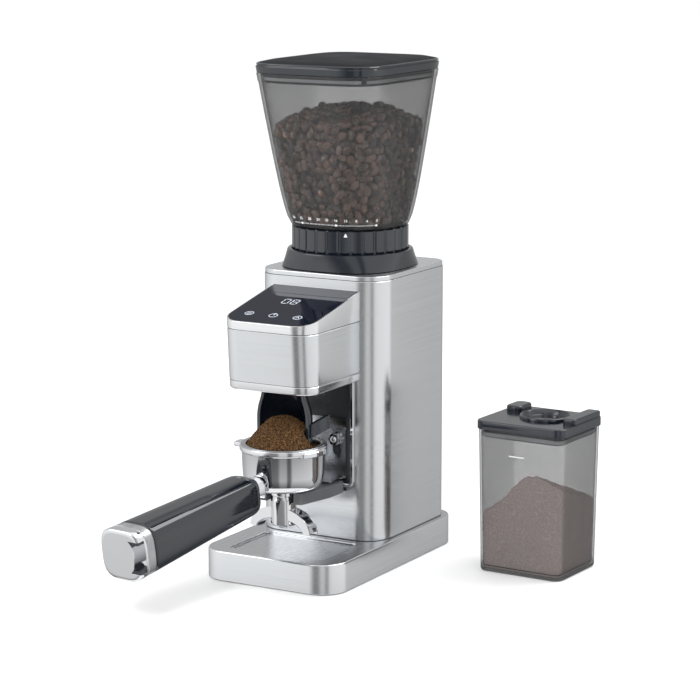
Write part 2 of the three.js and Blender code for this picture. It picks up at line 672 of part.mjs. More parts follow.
// The cone burr's teeth are ridges that wind round the cone.
function lowerBurr() {
  const { bottom, rim, top, wide, narrow, teeth, toothDepth, twist } = LOWER_BURR;
  const levels = 3;
  const profile = [[0, bottom], [wide - 3, bottom]];
  for (let i = 0; i <= levels; i += 1) {
    const share = i / levels;
    profile.push([THREE.MathUtils.lerp(wide, narrow, share), THREE.MathUtils.lerp(rim, top, share)]);
  }
  profile.push([0, top]);
  const cone = revolve(profile, 0, 4 * teeth);
  const position = cone.attributes.position;
  for (let i = 0; i < position.count; i += 1) {
    const [x, y, z] = [position.getX(i), position.getY(i), position.getZ(i)];
    const turn = Math.atan2(y, x) + (twist * (z - bottom)) / (top - bottom);
    const ridge = 1 - toothDepth * (0.5 + 0.5 * Math.sin(teeth * turn));
    position.setXY(i, x * ridge, y * ridge);
  }
  return cut(cone, spindleHole(bottom, top)).translate(0, BURR_Y, 0);
}

function spindleHole(bottom, top) {
  return disc(SPINDLE.radius + GAP, bottom - OVER, top + OVER, 0, FACETS.small);
}

function impeller() {
  const { hub, reach, bottom, top, bladeTop, blade, blades } = IMPELLER;
  const pieces = [ring(SPINDLE.radius + GAP, hub, bottom, top)];
  for (let i = 0; i < blades; i += 1) {
    const arm = block(hub - blade, reach, -blade / 2, blade / 2, bottom, bladeTop);
    pieces.push(arm.rotateZ((i * 2 * Math.PI) / blades));
  }
  return join(...pieces).translate(0, BURR_Y, 0);
}

function burrNut() {
  const points = [];
  for (let i = 0; i < 6; i += 1) {
    const angle = (i * Math.PI) / 3;
    points.push(new THREE.Vector2(NUT.radius * Math.cos(angle), NUT.radius * Math.sin(angle)));
  }
  const body = slab(new THREE.Shape(points), NUT.bottom, NUT.top);
  return cut(body, spindleHole(NUT.bottom, NUT.top)).translate(0, BURR_Y, 0);
}

// Straight-sided teeth: tip, pitch and root widths set by the module.
function gearWheel(teeth, bore, turn) {
  const pitch = (GEAR.module * teeth) / 2;
  const tip = pitch + 0.85 * GEAR.module;
  const root = pitch - 1.15 * GEAR.module;
  const corners = [[root, -1.05], [tip, -0.3], [tip, 0.3], [root, 1.05]];
  const points = [];
  for (let i = 0; i < teeth; i += 1) {
    const middle = turn + (i / teeth) * 2 * Math.PI;
    for (const [radius, side] of corners) {
      const angle = middle + (side * GEAR.halfTooth) / (0.97 * radius);
      points.push(new THREE.Vector2(radius * Math.cos(angle), radius * Math.sin(angle)));
    }
  }
  const [low, high] = [GEAR.bottom, GEAR.bottom + GEAR.height];
  return cut(slab(new THREE.Shape(points), low, high), disc(bore, low - OVER, high + OVER, 0, FACETS.small));
}

function gearboxHousing() {
  const { halfWidth, front, back, radius, bottom, top, wall } = GEARBOX;
  const middle = (front + back) / 2;
  const outline = (inset) => (
    roundedRect(2 * (halfWidth - inset), back - front - 2 * inset, radius - inset, 0, middle)
  );
  const tray = cut(slab(outline(0), bottom, top), slab(outline(wall), bottom + wall, top + OVER));
  const shaftHole = disc(MOTOR.shaft + 1, bottom - OVER, top + OVER, MOTOR_Y, FACETS.small);
  return cut(join(tray, bearingSeat(bottom + 1, bottom + wall + BEARING.height)), shaftHole);
}

function bearingSeat(bottom, top) {
  const inner = BEARING.outer + GAP;
  return ring(inner, inner + BEARING.seatWall, bottom, top, BURR_Y);
}

function gearboxCover() {
  const { halfWidth, front, back, radius, top, wall } = GEARBOX;
  const shape = roundedRect(2 * halfWidth, back - front, radius, 0, (front + back) / 2);
  const plateTop = top + GAP + wall;
  const seat = bearingSeat(plateTop - 1, plateTop + GAP + BEARING.height);
  return cut(join(slab(shape, top + GAP, plateTop), seat), disc(NUT.radius, top - OVER, plateTop + OVER, BURR_Y));
}

function bearing(bottom) {
  return ring(BEARING.inner, BEARING.outer, bottom, bottom + BEARING.height, BURR_Y);
}

function motor() {
  const { radius, bottom, top, edge, boss, bossHeight, shaft } = MOTOR;
  const bore = shaft + GAP;
  const profile = [
    [0, bottom], [radius - edge, bottom], [radius, bottom + edge], [radius, top - edge], [radius - edge, top],
    [boss, top], [boss, top + bossHeight], [bore, top + bossHeight], [bore, top - boss], [0, top - boss],
  ];
  return revolve(profile, MOTOR_Y);
}

function powerBoard() {
  const { x, thickness, front, back, bottom, top, parts } = POWER_BOARD;
  const face = x + thickness;
  const board = block(x, face, front, back, bottom, top);
  return join(board, ...parts.map((part) => (
    block(face - GAP, face + part.reach, part.front, part.back, part.bottom, part.top)
  )));
}

function addMechanism() {
  const spindleBore = SPINDLE.radius + GAP;
  const turnToPinion = Math.PI / 2;
  const pinionGap = -Math.PI / 2 + Math.PI / GEAR.pinionTeeth;
  const wheel = gearWheel(GEAR.wheelTeeth, spindleBore, turnToPinion).translate(0, BURR_Y, 0);
  const pinion = gearWheel(GEAR.pinionTeeth, MOTOR.shaft + GAP, pinionGap).translate(0, MOTOR_Y, 0);
  add('burr_chamber', burrChamber(), aluminium);
  add('burr_carrier', burrCarrier(), blackPlastic);
  add('upper_burr', upperBurr(), hardSteel);
  add('lower_burr', lowerBurr(), hardSteel);
  add('impeller', impeller(), greyPlastic);
  add('burr_nut', burrNut(), hardSteel);
  add('burr_spindle', disc(SPINDLE.radius, SPINDLE.bottom, SPINDLE.top, BURR_Y, FACETS.small), hardSteel);
  add('drive_gear', wheel, brass);
  add('motor_pinion', pinion, brass);
  add('motor_shaft', disc(MOTOR.shaft, MOTOR.top - OVER, MOTOR.shaftTop, MOTOR_Y, FACETS.small), hardSteel);
  add('motor', motor(), hardSteel);
  add('gearbox_housing', gearboxHousing(), greyPlastic);
  add('gearbox_cover', gearboxCover(), greyPlastic);
  add('lower_bearing', bearing(GEARBOX.bottom + GEARBOX.wall + GAP), brass);
  add('upper_bearing', bearing(GEARBOX.top + GEARBOX.wall + 2 * GAP), brass);
  add('power_board', powerBoard(), boardGreen);
}

// ---------------------------------------------------------------- collar and grind ring

function hopperCollar() {
  const { bottom, top, half, power, topRadius, seat } = COLLAR;
  const skirt = loft([
    { z: bottom, halfX: half, power, y: BURR_Y },
    { z: top - 1, halfX: topRadius, y: BURR_Y },
    { z: top, halfX: topRadius - 1, y: BURR_Y },
  ]);
  const bore = disc(CHAMBER.outer + 0.4, bottom - OVER, top + OVER, BURR_Y, FACETS.fine);
  return cut(skirt, bore, disc(RING.radius + 0.4, seat, top + OVER, BURR_Y, FACETS.fine));
}

// Shallow grooves divide the rim into finger grips.
function grindRing() {
  const { radius, bottom, top, inner, floor, throat, grips, groove, grooveShare } = RING;
  const step = (2 * Math.PI) / grips;
  const half = (grooveShare * step) / 2;
  const points = [];
  for (let i = 0; i < grips; i += 1) {
    const middle = i * step;
    const corners = [
      [radius, -half], [radius - groove, -half * 0.6], [radius - groove, half * 0.6], [radius, half],
      [radius, step / 2],
    ];
    for (const [reach, turn] of corners) {
      points.push(new THREE.Vector2(reach * Math.cos(middle + turn), reach * Math.sin(middle + turn)));
    }
  }
  const rim = slab(new THREE.Shape(points), bottom, top).translate(0, BURR_Y, 0);
  const cup = disc(inner, bottom + floor, top + OVER, BURR_Y, FACETS.fine);
  return cut(rim, cup, disc(throat, bottom - OVER, top, BURR_Y, FACETS.fine));
}

// ---------------------------------------------------------------- hopper

// The hopper is round where it leaves the ring and a soft rectangle at the top.
function hopperSection(z, inset = 0) {
  const share = (z - HOPPER.bottom) / (HOPPER.top - HOPPER.bottom);
  return {
    z,
    halfX: THREE.MathUtils.lerp(HOPPER.round, HOPPER.halfX, share) - inset,
    halfY: THREE.MathUtils.lerp(HOPPER.round, HOPPER.halfY, share) - inset,
    power: THREE.MathUtils.lerp(2, HOPPER.power, Math.sqrt(Math.max(share, 0))),
    y: THREE.MathUtils.lerp(BURR_Y, HOPPER.topY, share),
  };
}

function hopperLoft(bottom, top, inset, levels = 4) {
  const sections = [];
  for (let i = 0; i <= levels; i += 1) {
    sections.push(hopperSection(THREE.MathUtils.lerp(bottom, top, i / levels), inset));
  }
  return loft(sections);
}

function hopperBody() {
  const funnel = cut(
    hopperLoft(HOPPER.bottom, HOPPER.top, 0),
    hopperLoft(HOPPER.bottom + HOPPER.wall, HOPPER.top, HOPPER.wall).translate(0, 0, 0.01),
  );
  const neck = disc(NECK.outer, NECK.bottom, HOPPER.bottom + 1, BURR_Y, FACETS.fine);
  const bore = disc(NECK.inner, NECK.bottom - OVER, HOPPER.bottom + 2 * OVER, BURR_Y, FACETS.fine);
  return cut(join(funnel, neck), bore);
}

// Two opposite windows, one on each side of the hub.
function windowShape(side) {
  const spread = THREE.MathUtils.degToRad(GATE.spread);
  const middle = side > 0 ? 0 : Math.PI;
  const shape = new THREE.Shape();
  shape.absarc(0, 0, GATE.outer, middle - spread, middle + spread, false);
  shape.absarc(0, 0, GATE.inner, middle + spread, middle - spread, true);
  shape.closePath();
  return shape;
}

function windowedDisc(bottom, hub) {
  const plate = disc(GATE.radius, bottom, bottom + GATE.thickness, 0, FACETS.fine);
  const [low, high] = [bottom - OVER, bottom + 2 * OVER];
  const windows = [-1, 1].map((side) => slab(windowShape(side), low, high));
  return cut(plate, ...windows, ...(hub > 0 ? [disc(hub, low, high, 0, FACETS.small)] : []));
}

function beanGate() {
  const { gateBottom, knobTop, knobHeight } = GATE;
  const hub = disc(GATE.hub, gateBottom + 1, knobTop - 2, 0, FACETS.small);
  const knob = disc(GATE.knob, knobTop - knobHeight, knobTop, 0, FACETS.small);
  return join(windowedDisc(gateBottom, 0), hub, knob).translate(0, BURR_Y, 0);
}

function lidSection(z, inset) {
  return { z, halfX: LID.halfX - inset, halfY: LID.halfY - inset, power: HOPPER.power, y: HOPPER.topY };
}

function hopperLid() {
  const cap = loft([
    lidSection(LID.bottom, 0.7), lidSection(LID.shoulder, 0), lidSection(LID.edge, 1.2),
    lidSection(LID.edge + 1.7, 9), lidSection(LID.top - 0.6, 24), lidSection(LID.top, 50),
  ]);
  const skirtBottom = LID.bottom - LID.skirt;
  const skirt = hopperLoft(skirtBottom, LID.bottom + 1, LID.skirtInset, 1);
  const inside = hopperLoft(skirtBottom - OVER, LID.edge - 2, LID.skirtInset + LID.skirtWall, 2);
  return cut(join(cap, skirt), inside);
}

function lidSeal() {
  const [bottom, top] = [LID.bottom - LID.sealLow, LID.bottom - LID.sealHigh];
  return cut(
    hopperLoft(bottom, top, LID.sealInset, 1),
    hopperLoft(bottom - 2, top + 2, LID.sealInset + LID.sealWidth, 1),
  );
}

function addHopper() {
  add('hopper_collar', hopperCollar(), blackPlastic);
  add('grind_ring', grindRing(), blackPlastic);
  add('hopper_body', hopperBody(), smokyClear);
  const floor = windowedDisc(GATE.floorBottom, GATE.hub + GAP).translate(0, BURR_Y, 0);
  add('hopper_floor', floor, blackPlastic);
  add('bean_gate', beanGate(), blackPlastic);
  add('hopper_lid', hopperLid(), glossBlack);
  add('lid_seal', lidSeal(), silicone);
}

// ---------------------------------------------------------------- portafilter

function portafilterCup() {
  const { y, bottom, top, flangeBottom, flange, outer, inner, floor, drain, groove, grooveBottom, grooveTop } = CUP;
  const cup = revolve([
    [drain, bottom], [22, bottom], [28.2, bottom + 1.2], [31.5, bottom + 4], [32.9, bottom + 8.5],
    [outer, flangeBottom], [flange, flangeBottom], [flange, top], [inner, top], [inner, grooveTop],
    [groove, grooveTop], [groove, grooveBottom], [inner, grooveBottom], [inner, bottom + floor + 3],
    [inner - 3, bottom + floor], [drain, bottom + floor], [drain, bottom],
  ], 0, FACETS.fine);
  const pieces = [cup];
  for (const side of [0, Math.PI]) {
    const half = THREE.MathUtils.degToRad(EAR.half);
    const middle = side + HANDLE.yaw;
    const shape = new THREE.Shape();
    shape.absarc(0, 0, EAR.outer, middle - half, middle + half, false);
    shape.absarc(0, 0, EAR.inner, middle + half, middle - half, true);
    shape.closePath();
    pieces.push(slab(shape, EAR.bottom, EAR.top));
  }
  return cut(join(...pieces), disc(inner, flangeBottom, top + OVER, 0, FACETS.fine)).translate(0, y, 0);
}

function filterBasket() {
  const { rim, radius, wall, top, bottom } = BASKET;
  return revolve([
    [0, bottom], [radius - 4, bottom], [radius, bottom + 5], [radius, top - wall], [rim, top - wall],
    [rim, top], [radius - wall, top], [radius - wall, bottom + 5], [radius - 4, bottom + wall], [0, bottom + wall],
  ], CUP.y, FACETS.fine);
}

function spoutNeck() {
  const { bore, neckRadius, collarRadius, collarBottom, neckTop, neckBottom } = SPOUT;
  return revolve([
    [bore, neckBottom], [neckRadius, neckBottom], [neckRadius, collarBottom - 1], [collarRadius, collarBottom],
    [collarRadius, neckTop], [bore, neckTop], [bore, neckBottom],
  ], CUP.y);
}

// One side view of the trough: from the middle it arches out and down to both tips.
function spoutArch() {
  const { reach, tip, neckBottom } = SPOUT;
  const top = neckBottom - GAP;
  const shape = new THREE.Shape();
  shape.moveTo(-reach, tip - 1);
  shape.quadraticCurveTo(-reach + 1, top - 2, 0, top);
  shape.quadraticCurveTo(reach - 1, top - 2, reach, tip - 1);
  shape.lineTo(reach - 8, tip - 1);
  shape.quadraticCurveTo(reach - 10, top - 9, 0, top - 8);
  shape.quadraticCurveTo(-reach + 10, top - 9, -reach + 8, tip - 1);
  shape.closePath();
  return shape;
}

function doubleSpout() {
  const { width, wall, well, neckBottom, tip, reach } = SPOUT;
  const half = width / 2;
  const arch = slabAlongY(spoutArch(), -half, half, FACETS.small);
  const channel = slabAlongY(channelShape(), -half + wall, half - wall, FACETS.small);
  const below = block(-2 * reach, 2 * reach, -width, width, tip - OVER, tip);
  const drain = disc(well, neckBottom - 8, neckBottom + OVER, 0, FACETS.small);
  return cut(arch, channel, below, drain).rotateZ(HANDLE.yaw).translate(0, CUP.y, 0);
}

// The open channel follows the arch and breaks out through its upper side.
function channelShape() {
  const { reach, tip, neckBottom } = SPOUT;
  const top = neckBottom - GAP;
  const shape = new THREE.Shape();
  shape.moveTo(-reach - OVER, tip - OVER);
  shape.lineTo(-reach - OVER, top + OVER);
  shape.lineTo(-6, top + OVER);
  shape.lineTo(-6, top - 3);
  shape.quadraticCurveTo(-reach + 6, top - 6, -reach + 3.2, tip - OVER);
  shape.closePath();
  return shape;
}

// Handle pieces are drawn along +Z from the cup's axis, then tilted into place.
function handleSection(z, half, power = HANDLE.power) {
  return { z, halfX: half, power };
}

function handleHalf(z) {
  return THREE.MathUtils.mapLinear(z, HANDLE.gripStart, HANDLE.end, HANDLE.startHalf, HANDLE.half);
}

function handleBracket() {
  const { bracketStart, gripStart } = HANDLE;
  return loft([
    handleSection(bracketStart, 9.5, 3), handleSection(bracketStart + 2, 9, 3),
    handleSection(gripStart - GAP, 8, 2.4),
  ], FACETS.round);
}

function handleGrip() {
  const { gripStart, gripEnd } = HANDLE;
  const nose = [[0, 10.5], [1.6, 13], [4, 14.8], [8, handleHalf(gripStart + 8)]];
  const sections = nose.map(([along, half]) => handleSection(gripStart + along, half));
  sections.push(handleSection(gripEnd, handleHalf(gripEnd)));
  return loft(sections, FACETS.fine);
}

function handleRing() {
  const { gripEnd, ringEnd } = HANDLE;
  const half = handleHalf(ringEnd);
  return loft([handleSection(gripEnd + GAP, half), handleSection(ringEnd, half)], FACETS.fine);
}

function handleCap() {
  const { ringEnd, end, notchRadius, notchDepth, notchHalf, notchFloor } = HANDLE;
  const half = handleHalf(end);
  const body = loft([
    handleSection(ringEnd + GAP, half), handleSection(end - 2, half), handleSection(end - 0.6, half - 0.7),
    handleSection(end, half - 2.2),
  ], FACETS.fine);
  const roller = disc(notchRadius, -notchHalf - 1, notchHalf + 1, 0, FACETS.fine).rotateX(Math.PI / 2);
  const scoop = roller.translate(half + notchRadius - notchDepth, 0, end + OVER);
  return cut(body, overlap(scoop, block(0, 2 * half, -notchHalf, notchHalf, ringEnd + notchFloor, end + 2 * OVER)));
}

function addPortafilter() {
  add('portafilter_cup', portafilterCup(), chrome);
  add('filter_basket', filterBasket(), hardSteel);
  add('basket_spring', ring(SPRING.inner, SPRING.outer, SPRING.bottom, SPRING.top, CUP.y, FACETS.fine), hardSteel);
  add('spout_neck', spoutNeck(), chrome);
  add('double_spout', doubleSpout(), chrome);
  const handle = new THREE.Group();
  handle.rotation.set(Math.PI / 2 + HANDLE.drop, 0, HANDLE.yaw, 'ZXY');
  handle.position.set(0, CUP.y, HANDLE.rootZ);
  group.add(handle);
  add('handle_bracket', handleBracket(), chrome, handle);
  add('handle_grip', handleGrip(), glossBlack, handle);
  add('handle_ring', handleRing(), chrome, handle);
  add('handle_cap', handleCap(), chrome, handle);
}

// ---------------------------------------------------------------- grounds bin

// The bin widens towards its top.
function flare(geometry) {
  const position = geometry.attributes.position;
  for (let i = 0; i < position.count; i += 1) {
    const scale = 1 + (BIN.flare * position.getZ(i)) / BIN.height;
    position.setXY(i, position.getX(i) * scale, position.getY(i) * scale);
  }
  return geometry;
}

function binBlock(inset, bottom, top) {
  const shape = roundedRect(BIN.width - 2 * inset, BIN.depth - 2 * inset, BIN.radius - inset);
  return flare(slab(shape, bottom, top));
}

function lidPlate(bottom, top) {
  return slab(roundedRect(BIN_LID.width, BIN_LID.depth, BIN_LID.radius), bottom, top);
}

// The lid drops into the bin on a hollow skirt. A long and a short rail stand on its two sides.
function binLid() {
  const { thickness, ring: ringRadius, ringHeight, hole, railHeight, skirt, skirtInset, skirtWall } = BIN_LID;
  const bottom = BIN.height + GAP;
  const top = bottom + thickness;
  const railTop = top + railHeight;
  const pieces = [
    lidPlate(bottom, top),
    binBlock(skirtInset, bottom - skirt, bottom + 1),
    disc(ringRadius, top - 1, top + ringHeight),
    block(27.5, 40, -32, 34, top - 1, railTop),
    block(-39, -25, 8, 34, top - 1, railTop),
  ];
  const dishFloor = top - BIN_LID.dishDepth;
  const dish = revolve([
    [0, dishFloor], [BIN_LID.dishRadius, dishFloor], [BIN_LID.dishRim, top + OVER], [0, top + OVER],
  ]);
  const underside = binBlock(skirtInset + skirtWall, bottom - skirt - OVER, bottom + 2);
  return cut(join(...pieces), dish, disc(hole, bottom - OVER, top + OVER), underside);
}

function binSeal() {
  const { low, high, inset, width } = BIN_SEAL;
  const [bottom, top] = [BIN.height - low, BIN.height - high];
  return cut(binBlock(inset, bottom, top), binBlock(inset + width, bottom - 1, top + 1));
}

function addBin() {
  const bin = new THREE.Group();
  bin.position.set(BIN.x, BIN.y, 0);
  bin.rotation.z = BIN.yaw;
  group.add(bin);
  const hollow = binBlock(BIN.wall, BIN.floor, BIN.height + OVER);
  add('grounds_bin', cut(binBlock(0, 0, BIN.height), hollow), smokyClear, bin);
  add('bin_lid', binLid(), blackPlastic, bin);
  add('bin_seal', binSeal(), silicone, bin);
}

addBase();
addTower();
addHead();
addDock();
addFork();
addMechanism();
addHopper();
addPortafilter();
addBin();

export default group;
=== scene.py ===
"""Looks of the burr coffee grinder: fine meshes, procedural materials, studio and camera."""
import json
import math
import random

import bmesh
import bpy
from mathutils import Matrix, Vector, noise


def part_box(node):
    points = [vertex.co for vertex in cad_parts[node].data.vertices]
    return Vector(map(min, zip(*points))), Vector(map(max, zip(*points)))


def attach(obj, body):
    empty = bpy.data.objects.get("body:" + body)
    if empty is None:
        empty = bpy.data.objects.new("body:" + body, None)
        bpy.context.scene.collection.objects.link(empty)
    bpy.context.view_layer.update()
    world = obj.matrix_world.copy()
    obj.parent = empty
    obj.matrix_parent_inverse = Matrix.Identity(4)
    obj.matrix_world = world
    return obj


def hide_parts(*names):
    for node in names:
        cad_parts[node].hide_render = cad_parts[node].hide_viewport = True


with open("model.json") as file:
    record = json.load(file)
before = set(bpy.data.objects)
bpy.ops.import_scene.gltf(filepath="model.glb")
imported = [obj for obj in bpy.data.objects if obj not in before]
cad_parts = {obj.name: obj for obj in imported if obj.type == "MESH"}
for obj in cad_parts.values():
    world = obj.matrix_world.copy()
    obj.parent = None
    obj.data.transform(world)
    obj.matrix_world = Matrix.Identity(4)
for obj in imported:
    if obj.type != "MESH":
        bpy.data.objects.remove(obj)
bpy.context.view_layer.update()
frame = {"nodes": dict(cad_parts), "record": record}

MM = 0.001
GAP = 0.3
FLAT = 0.3
AXIS = 0.01
INK = 0.12
UPRIGHT_TO_FRONT = Matrix.Rotation(math.pi / 2, 4, "X")
UPRIGHT_TO_REAR = Matrix.Rotation(-math.pi / 2, 4, "X")
CENTRE = Vector((0, 0))
NODES = frame["nodes"]


# ---------------------------------------------------------------- places from the frame, in millimetres

def low(node):
    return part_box(node)[0] / MM


def high(node):
    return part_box(node)[1] / MM


def middle(node):
    return (low(node) + high(node)) / 2


BURR_Y = middle("grind_ring").y
CUP = Vector((0, middle("filter_basket").y))
TOWER_LOW, TOWER_HIGH = low("tower_shell"), high("tower_shell")
HEAD_LOW = low("head_bottom_trim")
LOW_SEAM = high("head_bottom_trim").z
HIGH_SEAM = low("head_top_trim").z
TOWER_FRONT_RADIUS, TOWER_REAR_RADIUS = 22.6, 15.7
BIN_YAW = math.radians(-2.6)
BIN = middle("bin_lid")
BIN_PLACE = Matrix.Translation((BIN.x, BIN.y, 0)) @ Matrix.Rotation(BIN_YAW, 4, "Z")
BIN_PLAN = {"width": 76.7, "depth": 68.5, "radius": 8, "height": 120.3, "flare": 0.053}

BASE_RADIUS = 22.6
TRAY = {"width": 86, "depth": 63, "radius": 5, "y": -63, "sink": 1.8}
TOP_BORE = 45.5
HEAD_WIDTH = 2 * high("head_shell").x
HEAD_RADIUS = 16.8
HEAD_FRONT = -104.8
HEAD_LEAN = 4.2 / 56.7
PANEL_EDGE = Vector((0, -109, 217.8))
PANEL_SLOPE = math.radians(11.7)
RING_RADIUS = 48.9
GRIPS = 30
HANDLE_YAW = math.radians(-8.8)
HANDLE_DROP = math.radians(8)
HANDLE_ROOT = Vector((CUP.x, CUP.y, 88))


# ---------------------------------------------------------------- outlines and closed forms

def rounded_rect(x0, x1, y0, y1, radii, steps=10):
    """Plan points. The radii go right front, right back, left back, left front."""
    corners = [(x1, y0, -1, 1), (x1, y1, -1, -1), (x0, y1, 1, -1), (x0, y0, 1, 1)]
    points = []
    for quarter, ((x, y, inward, upward), radius) in enumerate(zip(corners, radii)):
        for i in range(steps + 1):
            turn = math.radians(90 * (quarter - 1 + i / steps))
            points.append((x + radius * (inward + math.cos(turn)), y + radius * (upward + math.sin(turn))))
    return points


def box_plan(width, depth, radius, centre=CENTRE, steps=10):
    """A function that gives the rounded outline at any inset."""
    def outline(inset):
        x, y = width / 2 - inset, depth / 2 - inset
        radii = [max(radius - inset, 0.05)] * 4
        return rounded_rect(centre.x - x, centre.x + x, centre.y - y, centre.y + y, radii, steps)
    return outline


def turns(count):
    """Equal steps of a full turn, in radians."""
    return [2 * math.pi * i / count for i in range(count)]


def superellipse(half_x, half_y, power, y=0.0, count=128):
    """A closed curve: an ellipse at power 2 that grows squarer with the power."""
    points = []
    for turn in turns(count):
        reach = abs(math.cos(turn) / half_x) ** power + abs(math.sin(turn) / half_y) ** power
        radius = reach ** (-1 / power)
        points.append((radius * math.cos(turn), y + radius * math.sin(turn)))
    return points


def at(points, z):
    return [(x, y, z) for x, y in points]


def rings(loops, ends=True, looped=False):
    """A form skinned over loops with the same number of points."""
    count = len(loops[0])
    points = [point for loop in loops for point in loop]
    faces = []
    for level in range(len(loops) if looped else len(loops) - 1):
        first = level * count
        second = ((level + 1) % len(loops)) * count
        for i in range(count):
            j = (i + 1) % count
            faces.append((first + i, first + j, second + j, second + i))
    if ends and not looped:
        faces.append(tuple(reversed(range(count))))
        faces.append(tuple(range(len(points) - count, len(points))))
    return points, faces


def quarter_turns(steps):
    return [math.pi / 2 * i / steps for i in range(steps + 1)]


def stack(outline, levels):
    """Loops of one outline at a list of insets and heights."""
    return [at(outline(inset), z) for inset, z in levels]


def rounded_slab(outline, bottom, top, edge, foot, steps=4):
    """An upright slab whose upper rim is rounded by edge and lower rim by foot."""
    levels = [(foot + FLAT, bottom)]
    levels += [(foot * (1 - math.sin(t)), bottom + foot * (1 - math.cos(t))) for t in quarter_turns(steps)]
    levels += [(edge * (1 - math.cos(t)), top - edge * (1 - math.sin(t))) for t in quarter_turns(steps)]
    levels.append((edge + FLAT, top))
    return rings(stack(outline, levels))


def tube(outline, bottom, top, wall, edge=0.3):
    """An upright tube with a small chamfer on its outer rims."""
    levels = [(edge, bottom), (0, bottom + edge), (0, top - edge), (edge, top), (wall, top), (wall, bottom)]
    return rings(stack(outline, levels), looped=True)


def revolve(profile, centre=CENTRE, count=96, closed=True):
    """A closed profile of radius and height, turned round an upright axis."""
    circle = [(math.cos(turn), math.sin(turn)) for turn in turns(count)]
    loops = []
    for radius, z in profile:
        loops.append([(centre.x + radius * x, centre.y + radius * y, z) for x, y in circle])
    return rings(loops, looped=closed)


def arc(x, z, radius, start, end, steps=5):
    """Profile points on an arc, with angles in degrees."""
    angles = [math.radians(start + (end - start) * i / steps) for i in range(steps + 1)]
    return [(x + radius * math.cos(angle), z + radius * math.sin(angle)) for angle in angles]


def block(x0, x1, y0, y1, z0, z1):
    loop = [(x0, y0), (x1, y0), (x1, y1), (x0, y1)]
    return rings([at(loop, z0), at(loop, z1)])


def moved(shape, matrix):
    points, faces = shape
    return [tuple(matrix @ Vector(point)) for point in points], faces


def gathered(shapes):
    points, faces = [], []
    for more_points, more_faces in shapes:
        start = len(points)
        points.extend(more_points)
        faces.extend(tuple(start + i for i in face) for face in more_faces)
    return points, faces


def make_object(name, shape):
    points, faces = shape
    mesh = bpy.data.meshes.new(name)
    mesh.from_pydata([Vector(point) * MM for point in points], [], faces)
    form = bmesh.new()
    form.from_mesh(mesh)
    bmesh.ops.remove_doubles(form, verts=form.verts, dist=1e-6)
    bmesh.ops.recalc_face_normals(form, faces=form.faces)
    form.to_mesh(mesh)
    form.free()
    obj = bpy.data.objects.new(name, mesh)
    bpy.context.scene.collection.objects.link(obj)
    return obj


def cut(shape, *tools):
    """The first shape with the tools taken out of it."""
    made = [make_object("cutting", form) for form in (shape, *tools)]
    for tool in made[1:]:
        modifier = made[0].modifiers.new("cut", "BOOLEAN")
        modifier.solver = "EXACT"
        modifier.operation = "DIFFERENCE"
        modifier.object = tool
    result = made[0].evaluated_get(bpy.context.evaluated_depsgraph_get()).to_mesh()
    points = [tuple(vertex.co / MM) for vertex in result.vertices]
    faces = [tuple(face.vertices) for face in result.polygons]
    for obj in made:
        bpy.data.objects.remove(obj)
    return points, faces


def piece(name, shape, body, slot, replaced=(), material=None, smooth=32):
    """A visible mesh that rides on a body, in its slot's material unless another is named."""
    obj = make_object(name, shape)
    obj.data.materials.append(material or MATERIALS[slot])
    obj.data.shade_smooth()
    obj.data.set_sharp_from_angle(angle=math.radians(smooth))
    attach(obj, body)
    if replaced:
        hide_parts(*replaced)
    return obj


def paint_faces(obj, material, chosen):
    """Gives a second material to the faces that are chosen."""
    obj.data.materials.append(material)
    for face in obj.data.polygons:
        face.material_index = int(chosen(face))


def faces_up(face):
    return face.normal.z > 0.9


def soften(obj, width, segments=2, angle=35):
    """Rounds the sharp edges of an object."""
    bevel = obj.modifiers.new("soften", "BEVEL")
    bevel.width = width * MM
    bevel.segments = segments
    bevel.limit_method = "ANGLE"
    bevel.angle_limit = math.radians(angle)
    bevel.harden_normals = True
    return obj


# ---------------------------------------------------------------- material helpers

def new_material(name, color, roughness, metallic=0.0, **sockets):
    material = bpy.data.materials.new(name)
    material.use_nodes = True
    shader = material.node_tree.nodes["Principled BSDF"]
    shader.inputs["Base Color"].default_value = (*color, 1)
    shader.inputs["Roughness"].default_value = roughness
    shader.inputs["Metallic"].default_value = metallic
    for socket, value in sockets.items():
        shader.inputs[socket.replace("_", " ")].default_value = value
    return material


def shader_of(material):
    return material.node_tree.nodes["Principled BSDF"]


def add_node(material, kind, settings=None, **inputs):
    node = material.node_tree.nodes.new(kind)
    for key, value in (settings or {}).items():
        setattr(node, key, value)
    for key, value in inputs.items():
        socket = node.inputs[key.replace("_", " ")]
        if isinstance(value, bpy.types.NodeSocket):
            material.node_tree.links.new(value, socket)
        else:
            socket.default_value = value
    return node


def noise_value(material, scale, detail=3.0, stretch=(1, 1, 1)):
    """Noise in the row frame, in cycles per metre, stretched along the axes."""
    place = add_node(material, "ShaderNodeTexCoord").outputs["Object"]
    mapping = add_node(material, "ShaderNodeMapping", Vector=place, Scale=stretch)
    sizes = {"Scale": scale, "Detail": detail}
    return add_node(material, "ShaderNodeTexNoise", Vector=mapping.outputs[0], **sizes).outputs["Fac"]


def spread(material, value, low_value, high_value, start=0.3, end=0.7):
    node = add_node(material, "ShaderNodeMapRange", Value=value, From_Min=start, From_Max=end)
    node.inputs["To Min"].default_value = low_value
    node.inputs["To Max"].default_value = high_value
    return node.outputs["Result"]


def blend_colors(material, value, first, second):
    node = add_node(material, "ShaderNodeMix", {"data_type": "RGBA"})
    material.node_tree.links.new(value, node.inputs[0])
    node.inputs[6].default_value = (*first, 1)
    node.inputs[7].default_value = (*second, 1)
    return node.outputs[2]


def drive(material, socket, value):
    material.node_tree.links.new(value, shader_of(material).inputs[socket])


def add_bump(material, value, strength, distance):
    node = add_node(material, "ShaderNodeBump", Height=value, Strength=strength, Distance=distance * MM)
    drive(material, "Normal", node.outputs["Normal"])


